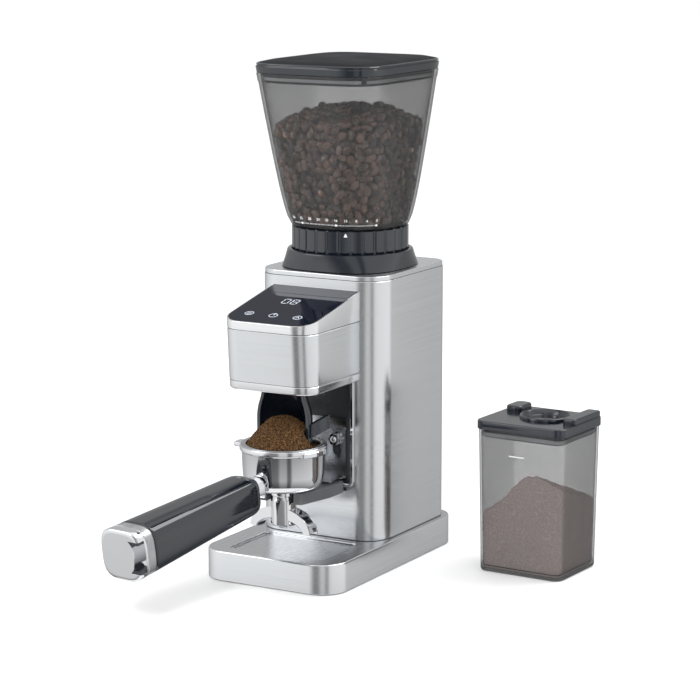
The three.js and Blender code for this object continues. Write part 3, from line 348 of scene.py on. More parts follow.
# ---------------------------------------------------------------- materials

def brushed_metal(name, color, roughness, stretch, anisotropic=0.5, tone=0.06, depth=0.004):
    """Fine parallel scratches: they vary the tone, the roughness and the surface."""
    material = new_material(name, color, roughness, 1.0, Anisotropic=anisotropic)
    tangent = add_node(material, "ShaderNodeTangent", {"direction_type": "RADIAL", "axis": "Z"})
    drive(material, "Tangent", tangent.outputs[0])
    lines = noise_value(material, 1.0, 4.0, stretch)
    drive(material, "Roughness", spread(material, lines, roughness - 0.05, roughness + 0.07))
    darker = tuple(channel * (1 - tone) for channel in color)
    drive(material, "Base Color", blend_colors(material, spread(material, lines, 0, 1), darker, color))
    add_bump(material, lines, 0.35, depth)
    return material


def polished_metal(name, color, roughness):
    """Mirror metal with the faint smears of handling."""
    material = new_material(name, color, roughness, 1.0)
    smears = noise_value(material, 60, 4.0)
    drive(material, "Roughness", spread(material, smears, roughness * 0.6, roughness * 1.8))
    return material


def moulded_plastic(name, color, roughness, grain=0.02, scale=2600, ior=1.5):
    """A fine moulded grain with slightly uneven gloss."""
    material = new_material(name, color, roughness, IOR=ior)
    patches = noise_value(material, 35, 3.0)
    drive(material, "Roughness", spread(material, patches, roughness * 0.88, roughness * 1.12))
    lighter = tuple(channel * 1.25 for channel in color)
    drive(material, "Base Color", blend_colors(material, spread(material, patches, 0, 1), color, lighter))
    add_bump(material, noise_value(material, scale, 2.0), 0.3, grain)
    return material


def smoky_clear(name, tint_across, tint_along):
    """Tinted clear plastic: see-through face on, darker and glossier at a slant, from either side."""
    material = new_material(name, (0.05, 0.05, 0.052), 0.06)
    tree = material.node_tree
    facing = add_node(material, "ShaderNodeLayerWeight", Blend=0.5).outputs["Facing"]
    slanted = spread(material, facing, 0, 1, 0.35, 1.0)
    tint = blend_colors(material, slanted, [tint_across] * 3, [tint_along] * 3)
    clear = add_node(material, "ShaderNodeBsdfTransparent", Color=tint)
    haze = add_node(material, "ShaderNodeBsdfDiffuse", Color=(0.5, 0.5, 0.5, 1))
    body = add_node(material, "ShaderNodeMixShader", Fac=0.035)
    tree.links.new(clear.outputs[0], body.inputs[1])
    tree.links.new(haze.outputs[0], body.inputs[2])
    streaks = noise_value(material, 25, 2.0, (1, 1, 0.2))
    gloss = add_node(material, "ShaderNodeBsdfGlossy", Color=(0.9, 0.92, 0.95, 1))
    tree.links.new(spread(material, streaks, 0.02, 0.07), gloss.inputs["Roughness"])
    slant = add_node(material, "ShaderNodeMath", {"operation": "POWER"})
    tree.links.new(facing, slant.inputs[0])
    slant.inputs[1].default_value = 5.0
    surface = add_node(material, "ShaderNodeMixShader")
    tree.links.new(spread(material, slant.outputs[0], 0.015, 0.4, 0, 1), surface.inputs[0])
    tree.links.new(body.outputs[0], surface.inputs[1])
    tree.links.new(gloss.outputs[0], surface.inputs[2])
    tree.links.new(surface.outputs[0], tree.nodes["Material Output"].inputs["Surface"])
    return material


def coffee_bean():
    """Oily roasted beans: each bean has its own tone, with paler flecks."""
    material = new_material("coffee_bean", (0.1, 0.05, 0.03), 0.2, IOR=2.4)
    tone = add_node(material, "ShaderNodeAttribute", {"attribute_name": "tone"}).outputs["Fac"]
    roast = blend_colors(material, tone, (0.03, 0.015, 0.012), (0.2, 0.105, 0.07))
    flecks = spread(material, noise_value(material, 420, 4.0), 0, 0.35, 0.5, 0.8)
    mixed = add_node(material, "ShaderNodeMix", {"data_type": "RGBA"})
    material.node_tree.links.new(flecks, mixed.inputs[0])
    material.node_tree.links.new(roast, mixed.inputs[6])
    mixed.inputs[7].default_value = (0.6, 0.33, 0.13, 1)
    drive(material, "Base Color", mixed.outputs[2])
    add_bump(material, noise_value(material, 900, 3.0), 0.25, 0.12)
    return material


def ground_coffee(name, dark, light):
    """Loose grounds: a coarse speckle of dark and light grains over small clumps."""
    material = new_material(name, dark, 0.85, IOR=1.4)
    grains = noise_value(material, 850, 5.0)
    speckle = spread(material, grains, 0, 1, 0.44, 0.66)
    drive(material, "Base Color", blend_colors(material, speckle, dark, light))
    add_bump(material, noise_value(material, 1100, 4.0), 0.9, 0.8)
    return material


def printed(name, color, glow=0.0):
    """Printed marks: slightly uneven ink."""
    material = new_material(name, color, 0.5)
    shader_of(material).inputs["Emission Color"].default_value = (*color, 1)
    shader_of(material).inputs["Emission Strength"].default_value = glow
    ink = spread(material, noise_value(material, 900, 2.0), 0.4, 0.6)
    drive(material, "Roughness", ink)
    return material


AROUND = (5, 5, 1500)
ALONG_Y = (1500, 5, 5)
MATERIALS = {
    "brushed_steel": brushed_metal("brushed_steel", (0.79, 0.81, 0.83), 0.2, AROUND, 0.6, 0.025, 0.0006),
    "satin_trim": brushed_metal("satin_trim", (0.87, 0.88, 0.89), 0.14, AROUND, 0.3, 0.01, 0.0003),
    "chrome": polished_metal("chrome", (0.8, 0.81, 0.83), 0.05),
    "black_plastic": moulded_plastic("black_plastic", (0.006, 0.009, 0.014), 0.14, 0.004, 2600, 1.75),
    "gloss_black": moulded_plastic("gloss_black", (0.005, 0.008, 0.012), 0.07, 0.001, 400, 1.7),
    "control_glass": moulded_plastic("control_glass", (0.003, 0.005, 0.012), 0.04, 0.0003, 200, 1.2),
    "smoky_clear": smoky_clear("smoky_clear", 0.73, 0.28),
    "rubber": moulded_plastic("rubber", (0.018, 0.018, 0.018), 0.75, 0.04, 1800),
    "silicone": moulded_plastic("silicone", (0.32, 0.33, 0.34), 0.55, 0.02, 1200),
    "grey_plastic": moulded_plastic("grey_plastic", (0.08, 0.085, 0.09), 0.5, 0.03),
    "aluminium": brushed_metal("aluminium", (0.6, 0.61, 0.62), 0.42, (60, 60, 60), 0.0, 0.12, 0.05),
    "hard_steel": brushed_metal("hard_steel", (0.5, 0.51, 0.53), 0.25, (900, 5, 900), 0.2, 0.1, 0.004),
    "brass": brushed_metal("brass", (0.7, 0.5, 0.22), 0.3, (300, 300, 20), 0.2, 0.1, 0.01),
    "circuit_board": moulded_plastic("circuit_board", (0.01, 0.09, 0.04), 0.45, 0.05, 900),
}
TOP_STEEL = brushed_metal("top_steel", (0.79, 0.81, 0.83), 0.28, ALONG_Y, 0.0, 0.025, 0.0006)
PLATE_STEEL = polished_metal("plate_steel", (0.62, 0.63, 0.65), 0.16)
# Darker steel for the base's upward faces, tray floor included: a painted reflection standing in for the
# tower mirrored in the base top.
BASE_TOP_REFLECTION_STEEL = brushed_metal("base_top_painted_reflection", (0.6, 0.61, 0.63), 0.22, ALONG_Y, 0.0, 0.025, 0.0006)
LINER = moulded_plastic("dock_liner_plastic", (0.03, 0.032, 0.036), 0.25, 0.004)
FORK_PLASTIC = moulded_plastic("fork_plastic", (0.085, 0.088, 0.095), 0.35, 0.01)
LID_TOP = moulded_plastic("lid_top_plastic", (0.006, 0.007, 0.009), 0.55, 0.02, 2600, 1.2)
SMOKY_THICK = smoky_clear("smoky_thick", 0.42, 0.2)
KNURL = polished_metal("knurled_metal", (0.7, 0.71, 0.73), 0.2)
BEANS = coffee_bean()
GROUNDS = ground_coffee("ground_coffee", (0.04, 0.018, 0.007), (0.21, 0.11, 0.036))
# Pale grounds for the bin: the coffee's speckle, with painted haze and reflection light from the bin's
# tinted wall mixed into the colour.
HAZE_LIT_GROUNDS = ground_coffee("grounds_painted_haze", (0.5, 0.4, 0.38), (0.72, 0.6, 0.57))
WHITE_PRINT = printed("white_print", (0.85, 0.86, 0.87))
DISPLAY_LIGHT = printed("display_light", (0.6, 0.64, 0.72), 0.25)


def dress_cad_nodes():
    for row in frame["record"]["subparts"]:
        mesh = NODES[row["node"]].data
        mesh.materials.clear()
        mesh.materials.append(MATERIALS[row["material_slot"]])
    NODES["fork_plate"].data.materials[0] = PLATE_STEEL
    NODES["dock_liner"].data.materials[0] = LINER
    for name in ("fork_plate", "rear_cover", "dock_liner"):
        soften(NODES[name], 0.35)


# ---------------------------------------------------------------- base and tower

def make_base():
    """A low box with rounded upper edges, a shallow tray pressed into its front and a mat under it."""
    lowest, highest = low("base_shell"), high("base_shell")
    size = highest - lowest
    plan = box_plan(size.x, size.y, BASE_RADIUS, steps=16)
    tray = box_plan(TRAY["width"], TRAY["depth"], TRAY["radius"], Vector((0, TRAY["y"])), steps=16)
    wall, edge, lip, floor = 1.5, 1.6, 0.7, highest.z - TRAY["sink"]
    outside = [(wall, lowest.z), (FLAT, lowest.z), (0, lowest.z + FLAT)]
    outside += [(edge - x, highest.z - edge + z) for x, z in arc(0, 0, edge, 0, 90, 6)]
    outside.append((edge + FLAT, highest.z))
    inside = [(-lip - FLAT, highest.z)]
    inside += [(-lip + lip * math.sin(t), highest.z - lip + lip * math.cos(t)) for t in quarter_turns(4)]
    inside += [(lip - lip * math.cos(t), floor + lip - lip * math.sin(t)) for t in quarter_turns(4)]
    inside.append((lip + FLAT, floor))
    shell = rings(stack(plan, outside) + stack(tray, inside))
    body = piece("base_body", shell, "housing", "brushed_steel", ["base_shell"])
    # Painted reflection: the upward faces take the darker steel for the tower mirrored in them.
    paint_faces(body, BASE_TOP_REFLECTION_STEEL, faces_up)
    pad_low, pad_high = low("foot_pad"), high("foot_pad")
    pad = box_plan(pad_high.x - pad_low.x, pad_high.y - pad_low.y, BASE_RADIUS - 1.9, steps=12)
    piece("foot_mat", rounded_slab(pad, pad_low.z, pad_high.z, 0.4, 0.8), "housing", "rubber", ["foot_pad"])


def tower_plan(inset):
    """The tower's front corners are rounder than its rear ones."""
    half = TOWER_HIGH.x - inset
    radii = [TOWER_FRONT_RADIUS - inset, TOWER_REAR_RADIUS - inset]
    radii += reversed(radii)
    return rounded_rect(-half, half, TOWER_LOW.y + inset, TOWER_HIGH.y - inset, radii, 16)


def make_tower():
    """The wrap, open at the back and at the dock, and the plate on top of it."""
    wrap = tube(tower_plan, TOWER_LOW.z, TOWER_HIGH.z, 1.2)
    past, above, depth = 3, 5, 5
    start, end = low("rear_cover"), high("rear_cover")
    rear = block(
        start.x - GAP, end.x + GAP, start.y - past, end.y + past, TOWER_LOW.z - above, TOWER_HIGH.z + above,
    )
    start, end = low("dock_liner"), high("dock_liner")
    window = block(
        start.x - GAP, end.x + GAP, start.y - depth, start.y + past, start.z - GAP, end.z + GAP,
    )
    piece("tower_wrap", cut(wrap, rear, window), "housing", "brushed_steel", ["tower_shell"])
    bottom, top = low("top_plate").z, high("top_plate").z
    step, edge, foot = TOWER_HIGH.x - high("top_plate").x, 0.8, 0.2
    bore = box_plan(2 * TOP_BORE, 2 * TOP_BORE, TOP_BORE, Vector((0, BURR_Y)), steps=16)
    levels = [(step + foot, bottom), (step, bottom + foot)]
    levels += [(step + edge - x, top - edge + z) for x, z in arc(0, 0, edge, 0, 90, 4)]
    levels.append((step + edge + FLAT, top))
    loops = [at(bore(0), bottom), *stack(tower_plan, levels), at(bore(0), top)]
    plate = piece("tower_top", rings(loops, looped=True), "housing", "brushed_steel", ["top_plate"])
    paint_faces(plate, TOP_STEEL, faces_up)


def make_rear_fittings():
    """Cross-head screws and the bush where the mains lead comes out."""
    face = high("rear_cover").y
    for name in [name for name in NODES if name.startswith("rear_screw")]:
        spot = middle(name)
        profile = [(AXIS, 0), (1.5, 0), (1.5, 9.3), *arc(2.5, 9.9, 0.7, -90, 80), (AXIS, 10.9)]
        cross = [block(-2, 2, -0.45, 0.45, 10, 12), block(-0.45, 0.45, -2, 2, 10, 12)]
        head = cut(revolve(profile, count=48, closed=False), *cross)
        place = Matrix.Translation((spot.x, face - 9, spot.z)) @ UPRIGHT_TO_REAR
        piece(name + "_head", moved(head, place), "housing", "hard_steel", [name])
    gland = middle("cord_gland")
    profile = [(3.2, -8), (5, -8), (5, 0.3), (8, 0.3), *arc(7.2, 1.6, 0.8, 0, 90)]
    profile += [(6, 2.6), (5.4, 5.4), (4.9, 7), (3.2, 7)]
    place = Matrix.Translation((gland.x, face, gland.z)) @ UPRIGHT_TO_REAR
    piece("cord_bush", moved(revolve(profile, count=48), place), "housing", "rubber", ["cord_gland"])


# ---------------------------------------------------------------- head

def head_plan(inset, z):
    """The head's outline at a height: its front leans out as it rises."""
    half = HEAD_WIDTH / 2 - inset
    rear = high("head_shell").y
    corner = max(HEAD_RADIUS - inset, 0.1)
    plan = rounded_rect(-half, half, HEAD_FRONT + inset, rear, [corner, 0.05, 0.05, corner], 16)
    depth = rear - HEAD_FRONT
    lean = HEAD_LEAN * (z - HEAD_LOW.z)
    return [(x, y - lean * (rear - y) / depth, z) for x, y in plan]


def slope_height(y):
    return PANEL_EDGE.z + (y - PANEL_EDGE.y) * math.tan(PANEL_SLOPE)


def sloped(inset, below):
    """The head's outline laid on the sloped control surface, or a little below it."""
    return [(x, y, slope_height(y) - below) for x, y, _ in head_plan(inset, PANEL_EDGE.z)]


def make_head():
    """Lower trim, steel band, upper trim and control glass, with a fine seam between each two."""
    edge, seam, wall, floor = 1.6, 0.5, 2, HEAD_LOW.z + 2.5
    chute = box_plan(31, 23, 2.3, Vector((0, -77)), steps=16)
    loops = stack(chute, [(0, floor), (0, HEAD_LOW.z)])
    loops += [head_plan(edge - x, HEAD_LOW.z + edge + z) for x, z in arc(0, 0, edge, -90, 0, 5)]
    loops += [head_plan(0, LOW_SEAM - seam), head_plan(seam, LOW_SEAM), head_plan(wall, LOW_SEAM)]
    loops.append(head_plan(wall, floor))
    piece("head_lower_trim", rings(loops, looped=True), "housing", "satin_trim", ["head_bottom_trim"])
    bottom, top, inside = low("head_shell").z, high("head_shell").z, 1.5
    levels = [(inside, bottom), (seam, bottom), (0, bottom + seam)]
    levels += [(0, top - seam), (seam, top), (inside, top)]
    band = rings([head_plan(inset, z) for inset, z in levels], looped=True)
    piece("head_band", band, "housing", "brushed_steel", ["head_shell"])
    frame_width, glass_depth = 4.5, 2.3
    loops = [head_plan(frame_width, HIGH_SEAM), head_plan(seam, HIGH_SEAM), head_plan(0, HIGH_SEAM + seam)]
    rim = [(0, 0.5), (0.15, 0.15), (0.5, 0), (1.25, 0), (1.35, 0.3), (1.35, glass_depth)]
    rim.append((frame_width, glass_depth))
    loops += [sloped(inset, below) for inset, below in rim]
    piece("head_upper_trim", rings(loops, looped=True), "housing", "satin_trim", ["head_top_trim"])
    levels = [(1.6, 2.0), (1.6, 0.5), (1.7, 0.2), (2.0, 0.05), (2.4, 0.05)]
    panel = rings([sloped(inset, below) for inset, below in levels])
    piece("control_panel", panel, "housing", "control_glass", ["control_glass"])


def panel_matrix():
    return Matrix.Translation(PANEL_EDGE) @ Matrix.Rotation(PANEL_SLOPE, 4, "X")


def bar(x0, y0, x1, y1, width):
    """A flat printed stroke from one point to another."""
    start, end = Vector((x0, y0)), Vector((x1, y1))
    along = (end - start).normalized()
    side = Vector((-along.y, along.x)) * width / 2
    loop = [tuple(point) for point in (start - side, end - side, end + side, start + side)]
    return rings([at(loop, 0), at(loop, INK)])


def stroke_ring(x, y, radius, width, start=0, end=360):
    """A printed circle or arc made of short strokes that overlap a little."""
    steps, overlap = max(6, int((end - start) / 12)), 1.08
    strokes = []
    for i in range(steps):
        angles = [math.radians(start + (end - start) * part / steps) for part in (i, i + overlap)]
        first, last = [(x + radius * math.cos(angle), y + radius * math.sin(angle)) for angle in angles]
        strokes.append(bar(*first, *last, width))
    return gathered(strokes)


SEGMENTS = {
    "top": (0, 1, 1, 1), "middle": (0, 0.5, 1, 0.5), "bottom": (0, 0, 1, 0),
    "upper_left": (0, 0.5, 0, 1), "lower_left": (0, 0, 0, 0.5),
    "upper_right": (1, 0.5, 1, 1), "lower_right": (1, 0, 1, 0.5),
}


def display_digit(value, x, y, width, height):
    """A seven-segment figure, either 0 or 8."""
    strokes = []
    for name, (x0, y0, x1, y1) in SEGMENTS.items():
        if name == "middle" and value == 0:
            continue
        trim_x, trim_y = (0.12, 0) if y0 == y1 else (0, 0.06)
        ends = [x + width * (x0 + trim_x), y + height * (y0 + trim_y)]
        ends += [x + width * (x1 - trim_x), y + height * (y1 - trim_y)]
        strokes.append(bar(*ends, 0.8))
    return gathered(strokes)


def make_display():
    """Two figures and three touch marks, lit through the glass."""
    place = panel_matrix() @ Matrix.Translation((0, 0, -0.05))
    figure_y, width, height, mark_y, radius, stroke = 46.5, 5.4, 9.5, 19.5, 3.6, 0.6
    left, centre, right = -24.2, -1.6, 21
    marks = [display_digit(value, x, figure_y, width, height) for value, x in ((0, -10.6), (8, -2.4))]
    marks += [stroke_ring(x, mark_y, radius, stroke) for x in (left, centre, right)]
    marks += [bar(centre, 20, centre, 24.4, 0.8), stroke_ring(left, mark_y, 1.9, stroke, 200, 340)]
    marks += [bar(left - 1.8, 20.4, left + 1.8, 20.4, stroke)]
    marks += [bar(right - 1.6, 18, right, 21.4, stroke), bar(right, 21.4, right + 1.6, 18, stroke)]
    shape = moved(gathered(marks), place)
    piece("display_marks", shape, "housing", "control_glass", material=DISPLAY_LIGHT)


# ---------------------------------------------------------------- dock

def make_shroud():
    """A half pipe, open to the front, that widens to its lower end, with two side arms."""
    lowest, highest = low("dispensing_shroud"), high("dispensing_shroud")
    top_radius, radius, wall, flare, edge, steps = 19, 24.5, 3.0, 140, 0.4, 48
    outer = [(radius, lowest.z + edge), (radius, flare - 4)]
    outer += [(radius - 0.4, flare), (radius - 1.4, flare + 5)]
    outer += [(top_radius + 1.8, flare + 12), (top_radius, highest.z)]
    inner = [(r - wall, z) for r, z in reversed(outer)]
    profile = [*outer, *inner, (radius - wall + 0.5, lowest.z), (radius - 0.5, lowest.z)]
    loops = []
    for i in range(steps + 1):
        turn = math.pi * i / steps
        loops.append([(r * math.cos(turn), lowest.y + r * math.sin(turn), z) for r, z in profile])
    shapes = [rings(loops)]
    arm_thickness, arm_front, arm_foot, arm_height, arm_rise = 3.2, -76, 120.8, 11.4, 3
    for x in (-highest.x, highest.x - arm_thickness):
        side = [(arm_front, arm_foot), (highest.y, arm_foot + arm_rise)]
        side += [(highest.y, arm_foot + arm_rise + arm_height), (arm_front, arm_foot + arm_height)]
        shapes.append(rings([[(x + step, y, z) for y, z in side] for step in (0, arm_thickness)]))
    shroud = piece("grounds_shroud", gathered(shapes), "housing", "black_plastic", ["dispensing_shroud"])
    soften(shroud, 0.5)


def make_fork():
    """A rounded plate with two prongs; the gap between them is round about the cup's axis."""
    lowest, highest = low("fork"), high("fork")
    gap, shoulder, tip, tip_half, bevel, steps = 12.6, -49.5, CUP.y - 6, 20.5, 2, 24
    right = [(highest.x, highest.y), (highest.x, shoulder)]
    right += [(tip_half, tip + bevel), (tip_half - bevel, tip)]
    right.append((gap, tip))
    angles = [math.pi * i / steps for i in range(steps + 1)]
    arch = [(gap * math.cos(angle), CUP.y + gap * math.sin(angle)) for angle in angles]
    outline = right + arch + [(-x, y) for x, y in reversed(right)]
    shape = rings([at(outline, lowest.z), at(outline, highest.z)])
    soften(piece("portafilter_fork", shape, "height_slide", "black_plastic", ["fork"], FORK_PLASTIC), 0.8)


def make_bezel():
    """A raised steel frame round the sides and the foot of the dock."""
    lowest, highest = low("dock_bezel"), high("dock_bezel")
    rim, radius = 3.0, 6.0

    def track(inset):
        x, bottom, corner = highest.x - inset, lowest.z + inset, radius - inset
        points = [(x, highest.z)]
        points += [(x - corner + a, bottom + corner + b) for a, b in arc(0, 0, corner, 0, -90, 10)]
        points += [(-x + corner - a, bottom + corner + b) for a, b in arc(0, 0, corner, -90, 0, 10)]
        points += [(-x, highest.z)]
        return points

    front, back, edge = lowest.y, highest.y, 0.5
    section = [(0, back), (0, front + edge), (edge, front)]
    section += [(rim - inset, y) for inset, y in reversed(section)]
    tracks = [[(x, y, z) for x, z in track(inset)] for inset, y in section]
    loops = [list(loop) for loop in zip(*tracks)]
    piece(
        "dock_frame", rings(loops),
        "housing", "brushed_steel", ["dock_bezel"], material=MATERIALS["chrome"],
    )


SCREW = {
    "radius": 5.4, "head": 4.5, "boss": 0.8,
    "levels": [
        (0, 0.88), (0.5, 1.0), (3.6, 1.0), (4.2, 0.93), (4.2, 0.5),
        (4.7, 0.46), (5.0, 0.38), (4.6, 0.3), (4.4, 0.1),
    ],
}


def make_screws():
    """Six-lobed thumb screws with a round boss in the middle."""
    for side, body in (("left", "left_screw"), ("right", "right_screw")):
        name = "height_screw_" + side
        spot, front = middle(name), low(name).y
        loops = [lobed(SCREW["radius"] * scale, z, scale > SCREW["boss"]) for z, scale in SCREW["levels"]]
        shank_profile = [(AXIS, -6.4), (2.4, -6.4), (2.4, 0.5), (AXIS, 0.5)]
        shank = revolve(shank_profile, count=32, closed=False)
        place = Matrix.Translation((spot.x, front + SCREW["head"], spot.z)) @ UPRIGHT_TO_FRONT
        shape = moved(gathered([rings(loops), shank]), place)
        piece(name + "_star", shape, body, "chrome", [name])


def lobed(radius, z, starred, lobes=6, count=96):
    """A circle, or a soft star where starred is true."""
    deep = 0.11 if starred else 0.0
    loop = []
    for turn in turns(count):
        reach = radius * (1 - deep + deep * math.cos(lobes * turn))
        loop.append((reach * math.cos(turn), reach * math.sin(turn), z))
    return loop


# ---------------------------------------------------------------- collar and grind ring

def make_collar():
    """A skirt that is a soft square at its foot and round at its top."""
    lowest, highest = low("hopper_collar"), high("hopper_collar")
    half, squareness, top_radius, hollow = 52.5, 2.83, highest.x, 0.5
    seat, bore, ledge, edge = 259, 44.4, 49.3, 0.5
    bottom, top, steps = lowest.z, highest.z, 8
    foot = superellipse(half - 0.6, half - 0.6, squareness, BURR_Y, 160)
    loops = [round_loop(bore, bottom), at(foot, bottom)]
    for i in range(steps + 1):
        share = i / steps
        reach = half + (top_radius - half) * share - hollow * math.sin(math.pi * share)
        power = squareness + (2 - squareness) * share
        z = bottom + 0.4 + (top - 1.6 - bottom) * share
        loops.append(at(superellipse(reach, reach, power, BURR_Y, 160), z))
    loops += [round_loop(top_radius - 0.35, top - 0.4), round_loop(top_radius - 1.1, top)]
    loops += [round_loop(ledge + edge, top), round_loop(ledge, top - edge), round_loop(ledge, seat)]
    loops += [round_loop(bore, seat)]
    piece("collar_skirt", rings(loops, looped=True), "housing", "black_plastic", ["hopper_collar"])


def round_loop(radius, z, count=160):
    return at(superellipse(radius, radius, 2, BURR_Y, count), z)


def grip_depth(turn, z, bottom, grips=GRIPS):
    """How far the rim sinks between its raised pads, each with rounded lower corners."""
    pitch = 2 * math.pi / grips
    across = abs((turn / pitch) % 1 - 0.5) * pitch * RING_RADIUS
    half, corner, foot = 4.1, 2.2, bottom + 3.2
    dx, dz = max(across - (half - corner), 0), max(foot + corner - z, 0)
    outside = math.hypot(dx, dz) - corner
    return 0.75 * min(max((outside + 0.35) / 0.7, 0), 1)


def make_grind_ring():
    """A ring with raised grip pads, and the pointer printed on one of them."""
    lowest, highest = low("grind_ring"), high("grind_ring")
    radius, count, bottom, top = RING_RADIUS, GRIPS * 20, lowest.z, highest.z
    bore, hub, web, steps = 44, 36, 3, 30
    heights = [bottom + 0.5 + (top - bottom - 1.1) * (i / steps) for i in range(steps + 1)]
    loops = []
    for z in heights:
        loop = []
        for turn in turns(count):
            reach = radius - grip_depth(turn, z, bottom)
            loop.append((reach * math.cos(turn), BURR_Y + reach * math.sin(turn), z))
        loops.append(loop)
    inside = [(radius - 1.1, top), (bore, top), (bore, bottom + web), (hub, bottom + web), (hub, bottom)]
    loops += [round_loop(reach, z, count) for reach, z in [*inside, (radius - 1.3, bottom)]]
    piece("grip_ring", rings(loops, looped=True), "grind_adjuster", "black_plastic", ["grind_ring"])
    turn = math.radians(POINTER_TURN - 90)
    spot = Vector((math.cos(turn), math.sin(turn)))
    outer = radius + 0.05
    place = surface_matrix(spot * outer + Vector((0, BURR_Y)), spot.to_3d(), top - 3.2)
    arrow = rings([at([(-1.5, -1.4), (1.5, -1.4), (0, 1.6)], z) for z in (0, 0.15)])
    piece("ring_pointer", moved(arrow, place), "grind_adjuster", "black_plastic", material=WHITE_PRINT)


def surface_matrix(spot, normal, z):
    """Places a flat mark on a surface: its X runs right, its Y up and its Z out."""
    out = Vector(normal).normalized()
    right = Vector((-out.y, out.x, 0)).normalized()
    up = out.cross(right)
    rotation = Matrix((right, up, out)).transposed().to_4x4()
    return Matrix.Translation((spot.x, spot.y, z)) @ rotation


# ---------------------------------------------------------------- hopper

HOPPER = {
    "bottom": high("grind_ring").z + GAP, "top": high("hopper_body").z, "round": 47.3,
    "half_x": high("hopper_body").x, "half_y": (high("hopper_body") - low("hopper_body")).y / 2,
    "top_y": middle("hopper_body").y, "power": 5.3,
}
POINTER_TURN = 25.0


def hopper_loop(z, inset=0.0, count=160):
    """The hopper is round at its foot and a soft rectangle at its rim."""
    share = min(max((z - HOPPER["bottom"]) / (HOPPER["top"] - HOPPER["bottom"]), 0), 1)
    half_x = HOPPER["round"] + (HOPPER["half_x"] - HOPPER["round"]) * share - inset
    half_y = HOPPER["round"] + (HOPPER["half_y"] - HOPPER["round"]) * share - inset
    power = 2 + (HOPPER["power"] - 2) * math.sqrt(share)
    y = BURR_Y + (HOPPER["top_y"] - BURR_Y) * share
    return at(superellipse(half_x, half_y, power, y, count), z)


def hopper_wall(turn, z, inset, count=720):
    """A point on the hopper's wall, by its angle in plan."""
    return Vector(hopper_loop(z, inset, count)[round(turn / (2 * math.pi) * count) % count])


def make_hopper():
    """A thin wall with a lip at its rim and a round neck that stands in the collar."""
    bottom, top, foot = HOPPER["bottom"], HOPPER["top"], low("hopper_body").z
    wall, lip, bands, neck, throat = 2.2, -0.35, 16, 43.4, 41
    levels = [bottom + (top - bottom) * i / bands for i in range(bands)]
    loops = [round_loop(neck, foot), round_loop(neck, bottom - 0.4), round_loop(neck + wall, bottom)]
    loops += [hopper_loop(z) for z in (bottom + 1.2, *levels[1:-1], top - 7)]
    loops += [hopper_loop(top - 6.4, lip), hopper_loop(top - 0.4, lip)]
    loops += [hopper_loop(top), hopper_loop(top, wall)]
    loops += [hopper_loop(z, wall) for z in reversed(levels[1:])]
    loops += [hopper_loop(bottom + wall, wall), round_loop(throat, bottom + wall), round_loop(throat, foot)]
    piece("hopper_wall", rings(loops, looped=True), "hopper", "smoky_clear", ["hopper_body"])


def text_shape(text, size):
    """Extruded figures as a shape, centred on the origin."""
    curve = bpy.data.curves.new("figures", "FONT")
    curve.body = text
    curve.size = size
    curve.align_x = "CENTER"
    curve.align_y = "CENTER"
    curve.extrude = 0.05
    curve.resolution_u = 3
    obj = bpy.data.objects.new("figures", curve)
    bpy.context.scene.collection.objects.link(obj)
    mesh = bpy.data.meshes.new_from_object(obj.evaluated_get(bpy.context.evaluated_depsgraph_get()))
    shape = [tuple(v.co) for v in mesh.vertices], [tuple(f.vertices) for f in mesh.polygons]
    bpy.data.objects.remove(obj)
    return shape


def on_hopper(turn, z, proud=-0.06, beside=0.03, above=3):
    """Where a printed mark lies on the hopper, by the angle from the front towards the right."""
    plan = math.radians(turn - 90)
    spot = hopper_wall(plan, z, proud)
    across = hopper_wall(plan + beside, z, proud) - spot
    normal = across.cross(hopper_wall(plan, z + above, proud) - spot)
    return surface_matrix(spot.xy, normal, z)


def make_scale():
    """Figures, fine ticks and three dots along the hopper's foot."""
    first, pitch, figures, fine, spaced = 53.8, 9.5, 10, 6, 4
    figure_size, figure_z, tick_z, dot_radius = 3.1, 290.6, 286.6, 0.95
    marks = []
    for i in range(figures):
        turn = first - pitch * i
        marks.append(moved(text_shape(str(4 * i), figure_size), on_hopper(turn, figure_z)))
        if i % spaced == 0:
            dot = rings([at(superellipse(dot_radius, dot_radius, 2, 0, 20), z) for z in (0, INK)])
            marks.append(moved(dot, on_hopper(turn, tick_z)))
    for i in range((figures - 1) * fine + 1):
        if i % (spaced * fine):
            marks.append(moved(bar(0, -0.5, 0, 0.5, 0.35), on_hopper(first - pitch * i / fine, tick_z)))
    piece("grind_scale", gathered(marks), "hopper", "smoky_clear", material=WHITE_PRINT)


def lid_loop(inset, z):
    size = (high("hopper_lid") - low("hopper_lid")) / 2
    return at(superellipse(size.x - inset, size.y - inset, HOPPER["power"], HOPPER["top_y"], 160), z)


def make_lid():
    """A glossy band under a gently crowned top, with a fine groove between them."""
    bottom, top, rim = low("hopper_lid").z, high("hopper_lid").z, HOPPER["top"] + GAP
    band = [(1.3, 0), (0.7, 0.2), (0.1, 4.6), (0, 5.4), (0.25, 5.9), (0.9, 6.1), (1.0, 6.7)]
    band += [(0.5, 6.9), (0.4, 7.4), (0.7, 7.9), (1.6, 8.3)]
    crown = [(9, 1.7), (18, 2.3), (30, 2.8), (44, 3.1), (56, 3.2)]
    under = [(40, 5.4), (20, 5.2), (8, 4.9)]
    shoulder, full_rise, skirt, inside = rim + band[-1][1], crown[-1][1], 3.6, 5.6
    levels = [(inset, rim + z) for inset, z in band]
    levels += [(inset, shoulder + (top - shoulder) * rise / full_rise) for inset, rise in crown]
    levels += [(inset, rim + z) for inset, z in under]
    loops = [hopper_loop(bottom, inside), hopper_loop(bottom, skirt), hopper_loop(rim - GAP, skirt)]
    loops += [lid_loop(inset, z) for inset, z in levels]
    loops.append(hopper_loop(rim, inside))
    lid = piece("hopper_cover", lid_form(loops), "lid", "gloss_black", ["hopper_lid"])
    paint_faces(lid, LID_TOP, lambda face: face.normal.z > 0.8 and face.center.z > (shoulder - 0.1) * MM)


